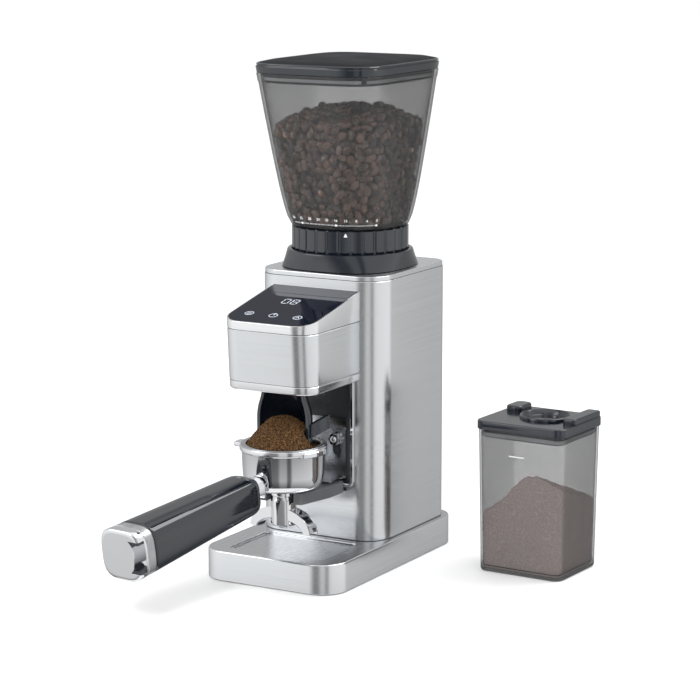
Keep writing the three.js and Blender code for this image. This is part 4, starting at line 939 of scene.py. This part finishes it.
def lid_form(loops):
    """The upper and the lower skin each close over the middle, and they are joined at the rim."""
    split = next(i for i, loop in enumerate(loops) if loop[0][2] == max(l[0][2] for l in loops))
    points, faces = rings(loops, ends=False)
    count = len(loops[0])
    upper_centre, under_centre = len(points), len(points) + 1
    middle_y = HOPPER["top_y"]
    points = points + [(0, middle_y, loops[split][0][2]), (0, middle_y, loops[split + 1][0][2])]
    kept = [f for f in faces if not (split * count <= f[0] < (split + 1) * count)]
    for i in range(count):
        j = (i + 1) % count
        kept.append((split * count + i, split * count + j, upper_centre))
        kept.append(((split + 1) * count + j, (split + 1) * count + i, under_centre))
    last = (len(loops) - 1) * count
    kept += [(last + i, last + (i + 1) % count, (i + 1) % count, i) for i in range(count)]
    return points, kept


# ---------------------------------------------------------------- beans

BEAN = {"length": 9.6, "width": 7.0, "height": 4.9, "round": 14, "levels": 8}


def bean_form():
    """One bean: a long dome over a flatter side with a groove along it."""
    flatness, groove, groove_width, belly = 0.45, 0.34, 0.2, 1.45
    loops = []
    for level in range(1, BEAN["levels"]):
        tilt = math.pi * level / BEAN["levels"]
        loop = []
        for turn in turns(BEAN["round"]):
            y, z = math.sin(tilt) * math.cos(turn), math.sin(tilt) * math.sin(turn)
            if z < 0:
                z = z * flatness + groove * math.exp(-(y / groove_width) ** 2) * math.sin(tilt)
            x = math.cos(tilt) * BEAN["length"] / 2
            loop.append((x, y * BEAN["width"] / 2, z * BEAN["height"] / belly))
        loops.append(loop)
    return rings(loops)


def heap_level(x, y):
    """Height of the beans' surface: a low dome."""
    reach = math.hypot(x / 50, (y - BURR_Y) / 58)
    return 381 - 12 * min(reach, 1.15) ** 1.8 + 2.0 * noise.noise(Vector((x, y, 5)) * 0.045)


def bean_places(rng):
    """Spots and outward directions over the beans' wall layer and top layer."""
    z, last, row_height, pitch, points, inset, scatter = 289.5, 372, 5.9, 7.6, 360, 5.4, 1.6
    places = []
    row = 0
    while z < last:
        loop = hopper_loop(z, inset, points)
        around = sum((Vector(loop[i]) - Vector(loop[i - 1])).length for i in range(points))
        count = int(around / pitch)
        for i in range(count):
            share = (i + 0.5 * (row % 2) + rng.uniform(-0.2, 0.2)) / count
            spot = Vector(loop[int(share * points) % points])
            spot.z += rng.uniform(-scatter, scatter)
            out = Vector((spot.x, spot.y - BURR_Y, -8)).normalized()
            if spot.z < heap_level(spot.x, spot.y):
                places.append((spot - out * rng.uniform(0, 2.4), out))
        z += row_height
        row += 1
    half_x, half_y, squareness, centre_y, step_x, step_y, scatter = 47.5, 57, 3.6, 30.2, 6.6, 7.0, 2
    for i in range(-9, 10):
        for j in range(-10, 11):
            x = step_x * i + rng.uniform(-scatter, scatter)
            y = BURR_Y + step_y * j + rng.uniform(-scatter, scatter)
            reach = (abs(x) / half_x) ** squareness + (abs(y - centre_y) / half_y) ** squareness
            if reach < 1:
                spot = Vector((x, y, heap_level(x, y) + rng.uniform(-3, 1.5)))
                places.append((spot, Vector((0, 0, 1))))
    return places


def make_beans():
    """Two layers of beans round a plain core that fills the hopper behind them."""
    rng = random.Random(7)
    form = bean_form()
    outward_share, lean_x, lean_y = 0.62, 0.34, 0.3
    shapes, tones = [], []
    for spot, out in bean_places(rng):
        facing = out if rng.random() < outward_share else -out
        base = facing.to_track_quat("Z", "X").to_matrix().to_4x4()
        spin = Matrix.Rotation(rng.uniform(0, 2 * math.pi), 4, "Z")
        tip = Matrix.Rotation(rng.gauss(0, lean_x), 4, "X") @ Matrix.Rotation(rng.gauss(0, lean_y), 4, "Y")
        size = Matrix.Diagonal((*[rng.uniform(0.88, 1.1)] * 3, 1))
        shapes.append(moved(form, Matrix.Translation(spot) @ base @ tip @ spin @ size))
        tones.append(rng.random())
    beans = piece("coffee_beans", gathered(shapes), "hopper", "smoky_clear", material=BEANS, smooth=60)
    vertices = len(beans.data.vertices)
    values = [tones[min(i // (vertices // len(tones)), len(tones) - 1)] for i in range(vertices)]
    beans.data.attributes.new("tone", "FLOAT", "POINT").data.foreach_set("value", values)
    core_foot, core_height, core_inset, bands, count = 284.6, 78, 9.5, 8, 64
    loops = [hopper_loop(core_foot + core_height * i / bands, core_inset, count) for i in range(bands + 1)]
    loops += [hopper_loop(368, 16, count), hopper_loop(374, 34, count)]
    piece("bean_filling", rings(loops), "hopper", "smoky_clear", material=BEANS)


# ---------------------------------------------------------------- portafilter

def make_cup():
    """A polished cup with a rounded flange and two lugs."""
    bottom, top = low("portafilter_cup").z, high("portafilter_cup").z
    flange = CUP.y - low("portafilter_cup").y
    flange_bottom, outer, inner, drain, floor = 110, 34.2, 31.8, 5.5, 3.4
    profile = [(drain, bottom), (21, bottom), *arc(26.6, bottom + 5.2, 5.2, -90, -30, 6)]
    profile += [(32.4, bottom + 6.4), (33.3, bottom + 12), (outer, flange_bottom - 0.8)]
    profile += [(outer + 0.3, flange_bottom), *arc(flange - 1.1, flange_bottom + 1.1, 1.1, -90, 0)]
    profile += [*arc(flange - 1.2, top - 1.2, 1.2, 0, 90), (inner + 1.4, top), (inner + 0.6, top - 0.6)]
    profile += [(inner, top - 0.9), (inner, bottom + 6.4)]
    profile += [(inner - 3, bottom + floor), (drain, bottom + floor)]
    ear = cup_lug(math.radians(185), 11, 42.5, 109.6, 113.2)
    front_lug = cup_lug(HANDLE_YAW, 30, 36.4, 108.4, 113.2)
    shape = gathered([revolve(profile, CUP, 128), ear, front_lug])
    piece("cup_body", shape, "portafilter", "chrome", ["portafilter_cup"])


def cup_lug(middle_turn, half, reach, bottom, top, root=33.6, steps=20):
    """A lug that stands out from the flange, rounded at its ends and edges."""
    past, edge = 0.9, 0.8
    loops = []
    for i in range(steps + 1):
        share = 2 * i / steps - 1
        turn = middle_turn + math.radians(half) * share
        out = root + (reach - root) * (1 - abs(share) ** 6) + past
        section = [(root, bottom), (out - edge, bottom), (out, bottom + edge), (out, top - edge)]
        section += [(out - edge, top), (root, top)]
        loops.append([(CUP.x + r * math.cos(turn), CUP.y + r * math.sin(turn), z) for r, z in section])
    return rings(loops)


def make_basket():
    """A thin bowl whose rolled rim lies on the cup's flange."""
    bottom, top, rim = low("filter_basket").z, high("filter_basket").z, high("filter_basket").x
    radius, wall, corner = 31, 0.8, 4
    profile = [(AXIS, bottom), (radius - corner, bottom)]
    profile += arc(radius - corner, bottom + corner, corner, -80, 0)
    profile += [(radius, top - 1.6), *arc(rim - 0.8, top - 0.9, 0.75, -90, 90, 6)]
    profile += [*arc(radius + 0.8, top - 1.4, 1.3, 90, 175, 4), (radius - wall, top - 4)]
    profile += [(radius - wall, bottom + 5), (radius - corner, bottom + wall), (AXIS, bottom + wall)]
    bowl = revolve(profile, CUP, 128, closed=False)
    piece("basket_bowl", bowl, "portafilter", "hard_steel", ["filter_basket"])


def make_spout():
    """A six-sided nut over two open channels that arch down to either side."""
    bore, nut, collar, top = 5, 10.6, 10.4, high("spout_neck").z
    levels = [(bore, 1, 47), (nut - 0.9, 0.3, 47), (nut, 0.2, 48.2), (nut, 0.2, 68), (nut - 0.8, 0.6, 69.2)]
    levels += [(nut - 1.2, 1, 71.4), (collar, 1, 72.2), (collar, 1, top - 1)]
    levels += [(collar - 0.6, 1, top), (bore, 1, top)]
    neck = rings([at(hexagon(radius, roundness), z) for radius, roundness, z in levels], looped=True)
    cup_place = Matrix.Translation((CUP.x, CUP.y, 0))
    neck = moved(neck, cup_place @ Matrix.Rotation(0.35, 4, "Z"))
    piece("neck_sleeve", neck, "portafilter", "chrome", ["spout_neck"])
    legs = []
    for turn in (HANDLE_YAW + math.pi, HANDLE_YAW):
        legs.append(moved(spout_leg(), cup_place @ Matrix.Rotation(turn, 4, "Z")))
    soften(piece("spout_legs", gathered(legs), "portafilter", "chrome", ["double_spout"]), 0.3)


def hexagon(radius, roundness, count=72):
    """A six-sided outline that turns into a circle as roundness goes to 1."""
    loop = []
    for turn in turns(count):
        flat = math.cos(math.pi / 6) / math.cos((turn % (math.pi / 3)) - math.pi / 6)
        reach = radius * (roundness + (1 - roundness) * min(flat * 1.06, 1))
        loop.append((reach * math.cos(turn), reach * math.sin(turn)))
    return loop


def spout_leg(steps=28):
    """One channel: it leaves the middle level and turns down to its tip, open on its outer side."""
    start, reach, tip, top, half, wall = 6, 22, 41.5, 56.5, 5.5, 1.3
    loops = []
    for i in range(steps + 1):
        turn = math.radians(86 * i / steps)
        x, z = start + reach * math.sin(turn), tip + (top - tip) * math.cos(turn)
        out = Vector((math.sin(turn) * (top - tip), math.cos(turn) * reach)).normalized()
        thick = 5.0 - 1.2 * i / steps
        section = [(-half, thick), (-half, 0.8 - thick), (0.8 - half, -thick), (half - 0.8, -thick)]
        section += [(half, 0.8 - thick), (half, thick), (half - wall, thick), (half - wall, -thick + 2)]
        section += [(wall - half, -thick + 2), (wall - half, thick)]
        loop = []
        for y, rise in section:
            loop.append((max(x + out.x * rise, start), y, max(z + out.y * rise, tip)))
        loops.append(loop)
    return rings(loops)


HANDLE_END = 195
KNURLS = 172


def handle_matrix():
    tilt = Matrix.Rotation(math.pi / 2 + HANDLE_DROP, 4, "X")
    return Matrix.Translation(HANDLE_ROOT) @ Matrix.Rotation(HANDLE_YAW, 4, "Z") @ tilt


def handle_half(along):
    """Half the handle's width: it widens evenly from the bracket to the end."""
    start, end, start_half, end_half = 44, HANDLE_END, 15.8, 20.6
    return start_half + (end_half - start_half) * (along - start) / (end - start)


def handle_loop(along, inset=0.0, power=3.6, count=96):
    half = handle_half(along) - inset
    return at(superellipse(half, half, power, 0, count), along)


def make_handle():
    """Bracket, flat-sided grip, knurled ring and the end cap with its notch, from the cup outwards."""
    place = handle_matrix()
    bracket = [(33.6, 9.4), (35.0, 9.6), (37.0, 8.7), (38.4, 8.0), (40.0, 7.8), (41.5, 8.4), (42.0, 9.2)]
    loops = [at(superellipse(half, half, 2.6, 0, 64), along) for along, half in [*bracket, (43.7, 9.2)]]
    piece("handle_neck", moved(rings(loops), place), "portafilter", "chrome", ["handle_bracket"])
    nose = [(44, 4.6), (44.4, 3.6), (45.4, 2.4), (47, 1.4), (49, 0.7), (52, 0.2), (56, 0)]
    start, end, steps = 60, 175.6, 60
    grip = [(start + (end - start) * i / steps, 0) for i in range(steps + 1)]
    loops = [grip_loop(along, inset) for along, inset in [*nose, *grip, (176.3, 0.3), (176.6, 0.8)]]
    piece("handle_body", moved(rings(loops), place), "portafilter", "gloss_black", ["handle_grip"])
    make_handle_ring(place)
    levels = [(185.7, 0.6), (186.1, 0.1), (188, 0), (HANDLE_END - 2.2, 0), (HANDLE_END - 1.2, 0.25)]
    levels += [(HANDLE_END - 0.5, 0.9), (HANDLE_END - 0.1, 1.9), (HANDLE_END, 3.2), (HANDLE_END, 3.7)]
    body = rings([handle_loop(along, inset) for along, inset in levels])
    notch_start, stretch = 188.2, 13 / 9
    bite = [(-9, 9.0), (-6.5, 12.2), (-3, 13.5), (0, 13.9), (3, 13.5), (6.5, 12.2), (9, 9.0)]
    plan = [(x, y * stretch) for y, x in bite] + [(30, 13), (30, -13)]
    notch = rings([at(plan, notch_start), at(plan, HANDLE_END + 5)])
    cap = piece("handle_end", moved(cut(body, notch), place), "portafilter", "chrome", ["handle_cap"])
    soften(cap, 0.25, angle=50)
    # Black blocks at both ends of the notch: painted shade standing in for the notch's end walls in shadow.
    shade_half, shade_end = 1.4, HANDLE_END - 0.7
    notch_shade_blocks = [block(8.6, 18.6, y - shade_half, y + shade_half, notch_start, shade_end) for y in (-11.9, 11.9)]
    piece("handle_notch_shade", moved(gathered(notch_shade_blocks), place), "portafilter", "gloss_black")


def make_handle_ring(place):
    start, end, rows, foot, rim, margin = 176.9, 185.4, 7, 1.4, 0.8, 0.5
    loops = [handle_loop(start, foot, count=KNURLS), handle_loop(start + 0.2, rim, count=KNURLS)]
    for row in range(rows + 1):
        loops.append(knurled(start + margin + (end - start - 2 * margin) * row / rows, row))
    loops += [handle_loop(end - 0.2, rim, count=KNURLS), handle_loop(end, foot, count=KNURLS)]
    shape = moved(rings(loops), place)
    piece("handle_knurl", shape, "portafilter", "chrome", ["handle_ring"], KNURL, smooth=8)


def grip_loop(along, inset):
    """The grip's section, with a shallow flute along its upper right edge."""
    flute_turn, flute_half, flute_start, fade, deepest = 62, 9, 104, 5, 0.55
    loop = []
    for x, y, z in handle_loop(along, inset, count=128):
        across = abs(math.degrees(math.atan2(y, x)) - flute_turn) / flute_half
        ahead = max((flute_start - along) / fade, 0)
        depth = deepest * min(max(1.6 * (1 - math.hypot(across, ahead)), 0), 1)
        scale = 1 - depth / math.hypot(x, y)
        loop.append((x * scale, y * scale, z))
    return loop


def knurled(along, row):
    """One row of the knurl: every other point is raised, and the rows alternate."""
    root, tooth = 0.75, 0.85
    loop = []
    for i, (x, y, z) in enumerate(handle_loop(along, root, count=KNURLS)):
        rise = 1 + (tooth / math.hypot(x, y)) * ((i + row) % 2)
        loop.append((x * rise, y * rise, z))
    return loop


# ---------------------------------------------------------------- ground coffee

def mound_height(x, y):
    """Height of the grounds in the basket: a lumpy dome that keeps clear of the shroud's lower edge."""
    reach = math.hypot(x, y) / 30.2
    height = 112.6 + 24.0 * max(1 - reach ** 2.1, 0)
    rough = noise.noise(Vector((x, y, 3)) * 0.13) * 2.2 + noise.noise(Vector((x, y, 9)) * 0.5) * 1.1
    height += rough * max(1 - reach, 0.2)
    if y > -3 and math.hypot(x, y) > 19.4:
        height = min(height, 111.2)
    return height


def make_mound():
    """A rough heap of grounds with loose crumbs over it."""
    rng = random.Random(11)
    radius, count, rows, crumbs, floor, grain = 30.0, 160, 64, 5200, 96.0, 0.35
    loops = []
    for row in range(rows, 0, -1):
        reach = radius * row / rows
        loop = []
        for turn in turns(count):
            x, y = reach * math.cos(turn), reach * math.sin(turn)
            loop.append((CUP.x + x, CUP.y + y, mound_height(x, y) + rng.uniform(-grain, grain)))
        loops.append(loop)
    loops.insert(0, [(x, y, floor) for x, y, _ in loops[0]])
    shapes = [rings(loops)]
    crumb = [(0.6, 0, 0), (-0.6, 0, 0), (0, 0.6, 0), (0, -0.6, 0), (0, 0, 0.6), (0, 0, -0.6)]
    crumb_faces = [(0, 2, 4), (2, 1, 4), (1, 3, 4), (3, 0, 4), (2, 0, 5), (1, 2, 5), (3, 1, 5), (0, 3, 5)]
    for _ in range(crumbs):
        reach, turn = radius * math.sqrt(rng.random()) * 0.985, rng.uniform(0, 2 * math.pi)
        x, y = reach * math.cos(turn), reach * math.sin(turn)
        spot = Vector((CUP.x + x, CUP.y + y, mound_height(x, y) + rng.uniform(-0.1, 0.45)))
        size = Matrix.Diagonal((*[rng.uniform(0.5, 1.5) for _ in range(3)], 1))
        turned = Matrix.Rotation(rng.uniform(0, 3), 4, Vector((rng.random(), rng.random(), 0.5)))
        shapes.append(moved((crumb, crumb_faces), Matrix.Translation(spot) @ turned @ size))
    piece("basket_grounds", gathered(shapes), "portafilter", "hard_steel", material=GROUNDS, smooth=25)


def stored_height(x, y):
    """Height of the grounds in the bin: heaped against the front, lower to the left and to the back."""
    width = 32 if x < 13 else 45
    heap = math.exp(-(((x - 13) / width) ** 2)) * (1 - 0.65 * (y + 34) / 68)
    rough = noise.noise(Vector((x, y, 1)) * 0.22) * 2.6 + noise.noise(Vector((x, y, 7)) * 0.8) * 0.8
    return 45 + 42 * heap + rough


def make_stored_grounds():
    outline = dense(box_plan(72.2, 64, 6)(0))
    rows = 40
    loops = [at([(0.99 * x, 0.99 * y) for x, y in outline], 3.2)]
    for row in range(rows, 0, -1):
        share = row / rows
        loops.append([(x * share, y * share, stored_height(x * share, y * share)) for x, y in outline])
    shape = rings([flared(loop) for loop in loops])
    # The bin's grounds take the pale colour: painted haze and reflection light over their own speckle.
    piece("bin_grounds", moved(shape, BIN_PLACE), "bin", "smoky_clear", material=HAZE_LIT_GROUNDS, smooth=50)


def dense(outline, step=1.6):
    """The outline with points added along its long sides."""
    points = []
    for i, (x, y) in enumerate(outline):
        next_x, next_y = outline[(i + 1) % len(outline)]
        parts = max(1, round(math.hypot(next_x - x, next_y - y) / step))
        for part in range(parts):
            share = part / parts
            points.append((x + (next_x - x) * share, y + (next_y - y) * share))
    return points


# ---------------------------------------------------------------- grounds bin

def flared(points):
    """The bin is wider at its rim than at its foot."""
    grown = []
    for x, y, z in points:
        scale = 1 + BIN_PLAN["flare"] * z / BIN_PLAN["height"]
        grown.append((x * scale, y * scale, z))
    return grown


def make_bin():
    """A thin flared box with a rounded foot, a darker floor and one printed level line."""
    plan = box_plan(BIN_PLAN["width"], BIN_PLAN["depth"], BIN_PLAN["radius"], steps=12)
    top, wall, floor = high("grounds_bin").z, 1.8, 2.6
    levels = [(2.2, 0), (0.9, 0.5), (0, 1.8), (0, 6), (0, top - 4), (0, top - 0.4), (0.4, top)]
    levels += [(wall - FLAT, top), (wall, top - 0.4), (wall, floor + 3), (wall + 1.5, floor + 0.7)]
    levels.append((wall + 3, floor))
    shape = rings([flared(loop) for loop in stack(plan, levels)])
    body = piece("bin_wall", moved(shape, BIN_PLACE), "bin", "smoky_clear", ["grounds_bin"])
    paint_faces(body, SMOKY_THICK, lambda face: face.center.z < 5 * MM)
    line = moved(bar(-7, 0, 7, 0, 0.6), Matrix.Translation((-1.5, -36.1, 101)) @ UPRIGHT_TO_FRONT)
    piece("bin_level_mark", moved(line, BIN_PLACE), "bin", "smoky_clear", material=WHITE_PRINT)


def make_bin_lid():
    """A flat lid with a dished filling ring, a finger dip on either side of it and two raised rails."""
    bottom = high("grounds_bin").z + GAP
    top, rail, past, skirt_inset = bottom + 7.4, high("bin_lid").z, 9, 6.8
    plate = rounded_slab(box_plan(83, 74.1, 9), bottom, top, 1.1, 0.6)
    spot, mouth, seat = Vector((3.5, 4.5)), 13, 21.2
    ring = [(mouth, top - 6), (21.6, top - 2), (21.9, top + 1.2), *arc(20.6, top + 1.3, 1.2, 10, 110)]
    ring += [(19, top + 1.0), (17.6, top - 1.4), (16.2, top - 1.8), (15.4, top - 3.8), (13.6, top - 4.4)]
    ring.append((mouth, top - 4.8))
    hole = [(AXIS, bottom - past), (mouth, bottom - past), (mouth, top - 5), (seat, top - 2.1)]
    hole += [(seat, top + past), (AXIS, top + past)]
    tools = [revolve(hole, spot, 72, closed=False)]
    bowl = [(AXIS, top - 4.6), (3, top - 4.4), (4.6, top - 3.4), (5.4, top - 1.6)]
    bowl += [(5.8, top + 5), (AXIS, top + 5)]
    for dip in (Vector((20.5, -13)), Vector((-17.5, 7))):
        tools.append(revolve(bowl, dip, 40, closed=False))
    right_rail = rounded_slab(box_plan(12.5, 47, 3.2, Vector((33.75, 10.5))), top - 1, rail, 1.4, 0.1)
    left_rail = rounded_slab(box_plan(15, 24, 5.5, Vector((-31, 22))), top - 1, rail, 1.8, 0.1)
    skirt = box_plan(BIN_PLAN["width"] - skirt_inset, BIN_PLAN["depth"] - skirt_inset, 6)
    points, faces = tube(skirt, bottom - 7, bottom + 0.5, 1.8)
    shapes = [cut(plate, *tools), revolve(ring, spot, 72), right_rail, left_rail, (flared(points), faces)]
    piece("bin_cover", moved(gathered(shapes), BIN_PLACE), "bin_cover", "black_plastic", ["bin_lid"])


# ---------------------------------------------------------------- studio and camera

CAMERA = {
    "turn": 29.61, "rise": 10.55, "distance": 2.156, "lens": 133.45,
    "target": (0.01822, -0.00026, 0.1808),
}


def make_camera():
    turn, rise = math.radians(CAMERA["turn"]), math.radians(CAMERA["rise"])
    back = Vector((math.sin(turn) * math.cos(rise), -math.cos(turn) * math.cos(rise), math.sin(rise)))
    data = bpy.data.cameras.new("camera")
    data.lens = CAMERA["lens"]
    data.sensor_width = 36
    data.clip_end = 100
    camera = bpy.data.objects.new("camera", data)
    camera.location = Vector(CAMERA["target"]) + back * CAMERA["distance"]
    camera.rotation_euler = back.to_track_quat("Z", "Y").to_euler()
    bpy.context.scene.collection.objects.link(camera)
    bpy.context.scene.camera = camera


def add_light(name, spot, aim, size, power):
    data = bpy.data.lights.new(name, "AREA")
    data.shape = "RECTANGLE"
    data.size, data.size_y = size
    data.energy = power
    light = bpy.data.objects.new(name, data)
    light.location = spot
    light.rotation_euler = (Vector(spot) - Vector(aim)).to_track_quat("Z", "Y").to_euler()
    bpy.context.scene.collection.objects.link(light)
    return light


def make_floor():
    material = new_material("studio_floor", (0.93, 0.93, 0.93), 0.6, Specular_IOR_Level=0.1)
    size = 30000
    corners = [(-size, -size), (size, -size), (size, size), (-size, size)]
    floor = make_object("studio_floor", (at(corners, 0), [(0, 1, 2, 3)]))
    floor.data.materials.append(material)
    floor.visible_glossy = False


REFLECTIONS = [
    (0, 0.24), (14, 0.28), (22, 0.68), (38, 0.68), (43, 0.24), (50, 0.24), (57, 0.85),
    (130, 0.95), (143, 0.62), (150, 0.5), (165, 0.46), (190, 0.5), (215, 0.55), (245, 0.5),
    (270, 0.8), (300, 1.0), (335, 1.0), (347, 0.5), (355, 0.26), (360, 0.24),
]
TENT = {"radius": 3000, "foot": -3000, "top": 4000}


def make_reflection_tent():
    """A round tent that only reflections see, with a brightness that changes round it."""
    material = bpy.data.materials.new("reflection_tent")
    material.use_nodes = True
    tree = material.node_tree
    tree.nodes.clear()
    place = add_node(material, "ShaderNodeTexCoord").outputs["Object"]
    gradient = add_node(material, "ShaderNodeTexGradient", {"gradient_type": "RADIAL"})
    turned = add_node(material, "ShaderNodeMapping", Vector=place, Rotation=(0, 0, -math.pi / 2))
    tree.links.new(turned.outputs[0], gradient.inputs[0])
    ramp = add_node(material, "ShaderNodeValToRGB", Fac=gradient.outputs["Fac"])
    stops = ramp.color_ramp.elements
    while len(stops) < len(REFLECTIONS):
        stops.new(0.5)
    for stop, (turn, value) in zip(stops, REFLECTIONS):
        stop.position = turn / 360
        stop.color = (value, value, value, 1)
    height = add_node(material, "ShaderNodeSeparateXYZ", Vector=place).outputs["Z"]
    falloff = spread(material, height, 0.3, 1.0, -2.4, -0.5)
    glow = add_node(material, "ShaderNodeEmission", Color=ramp.outputs["Color"], Strength=falloff)
    output = add_node(material, "ShaderNodeOutputMaterial")
    tree.links.new(glow.outputs[0], output.inputs["Surface"])
    circle = superellipse(TENT["radius"], TENT["radius"], 2, 0, 96)
    wall = rings([at(circle, TENT["foot"]), at(circle, TENT["top"])], ends=False)
    tent = make_object("reflection_tent", wall)
    tent.data.materials.append(material)
    for ray in ("camera", "diffuse", "transmission", "shadow", "volume_scatter"):
        setattr(tent, "visible_" + ray, False)


def make_studio():
    make_floor()
    make_reflection_tent()
    world = bpy.data.worlds.new("studio")
    world.use_nodes = True
    background = world.node_tree.nodes["Background"].inputs
    background["Color"].default_value = (1, 1, 1, 1)
    background["Strength"].default_value = 1.08
    bpy.context.scene.world = world
    aim = (0.02, 0, 0.15)
    add_light("key", (0.9, 1.3, 2.4), aim, (1.6, 1.6), 30)
    add_light("fill", (-1.6, -1.6, 1.6), aim, (1.6, 1.6), 14)
    front = add_light("front", (0.5, -2.0, 1.5), (0, 0, 0.33), (0.5, 0.5), 26)
    front.visible_glossy = False
    bpy.context.scene.view_settings.view_transform = "Standard"


MAKERS = [
    make_camera, make_studio, dress_cad_nodes, make_base, make_tower, make_rear_fittings, make_head,
    make_display, make_shroud, make_fork, make_bezel, make_screws, make_collar, make_grind_ring,
    make_hopper, make_scale, make_lid, make_beans, make_cup, make_basket, make_spout, make_handle,
    make_mound, make_bin, make_stored_grounds, make_bin_lid,
]
for make in MAKERS:
    make()
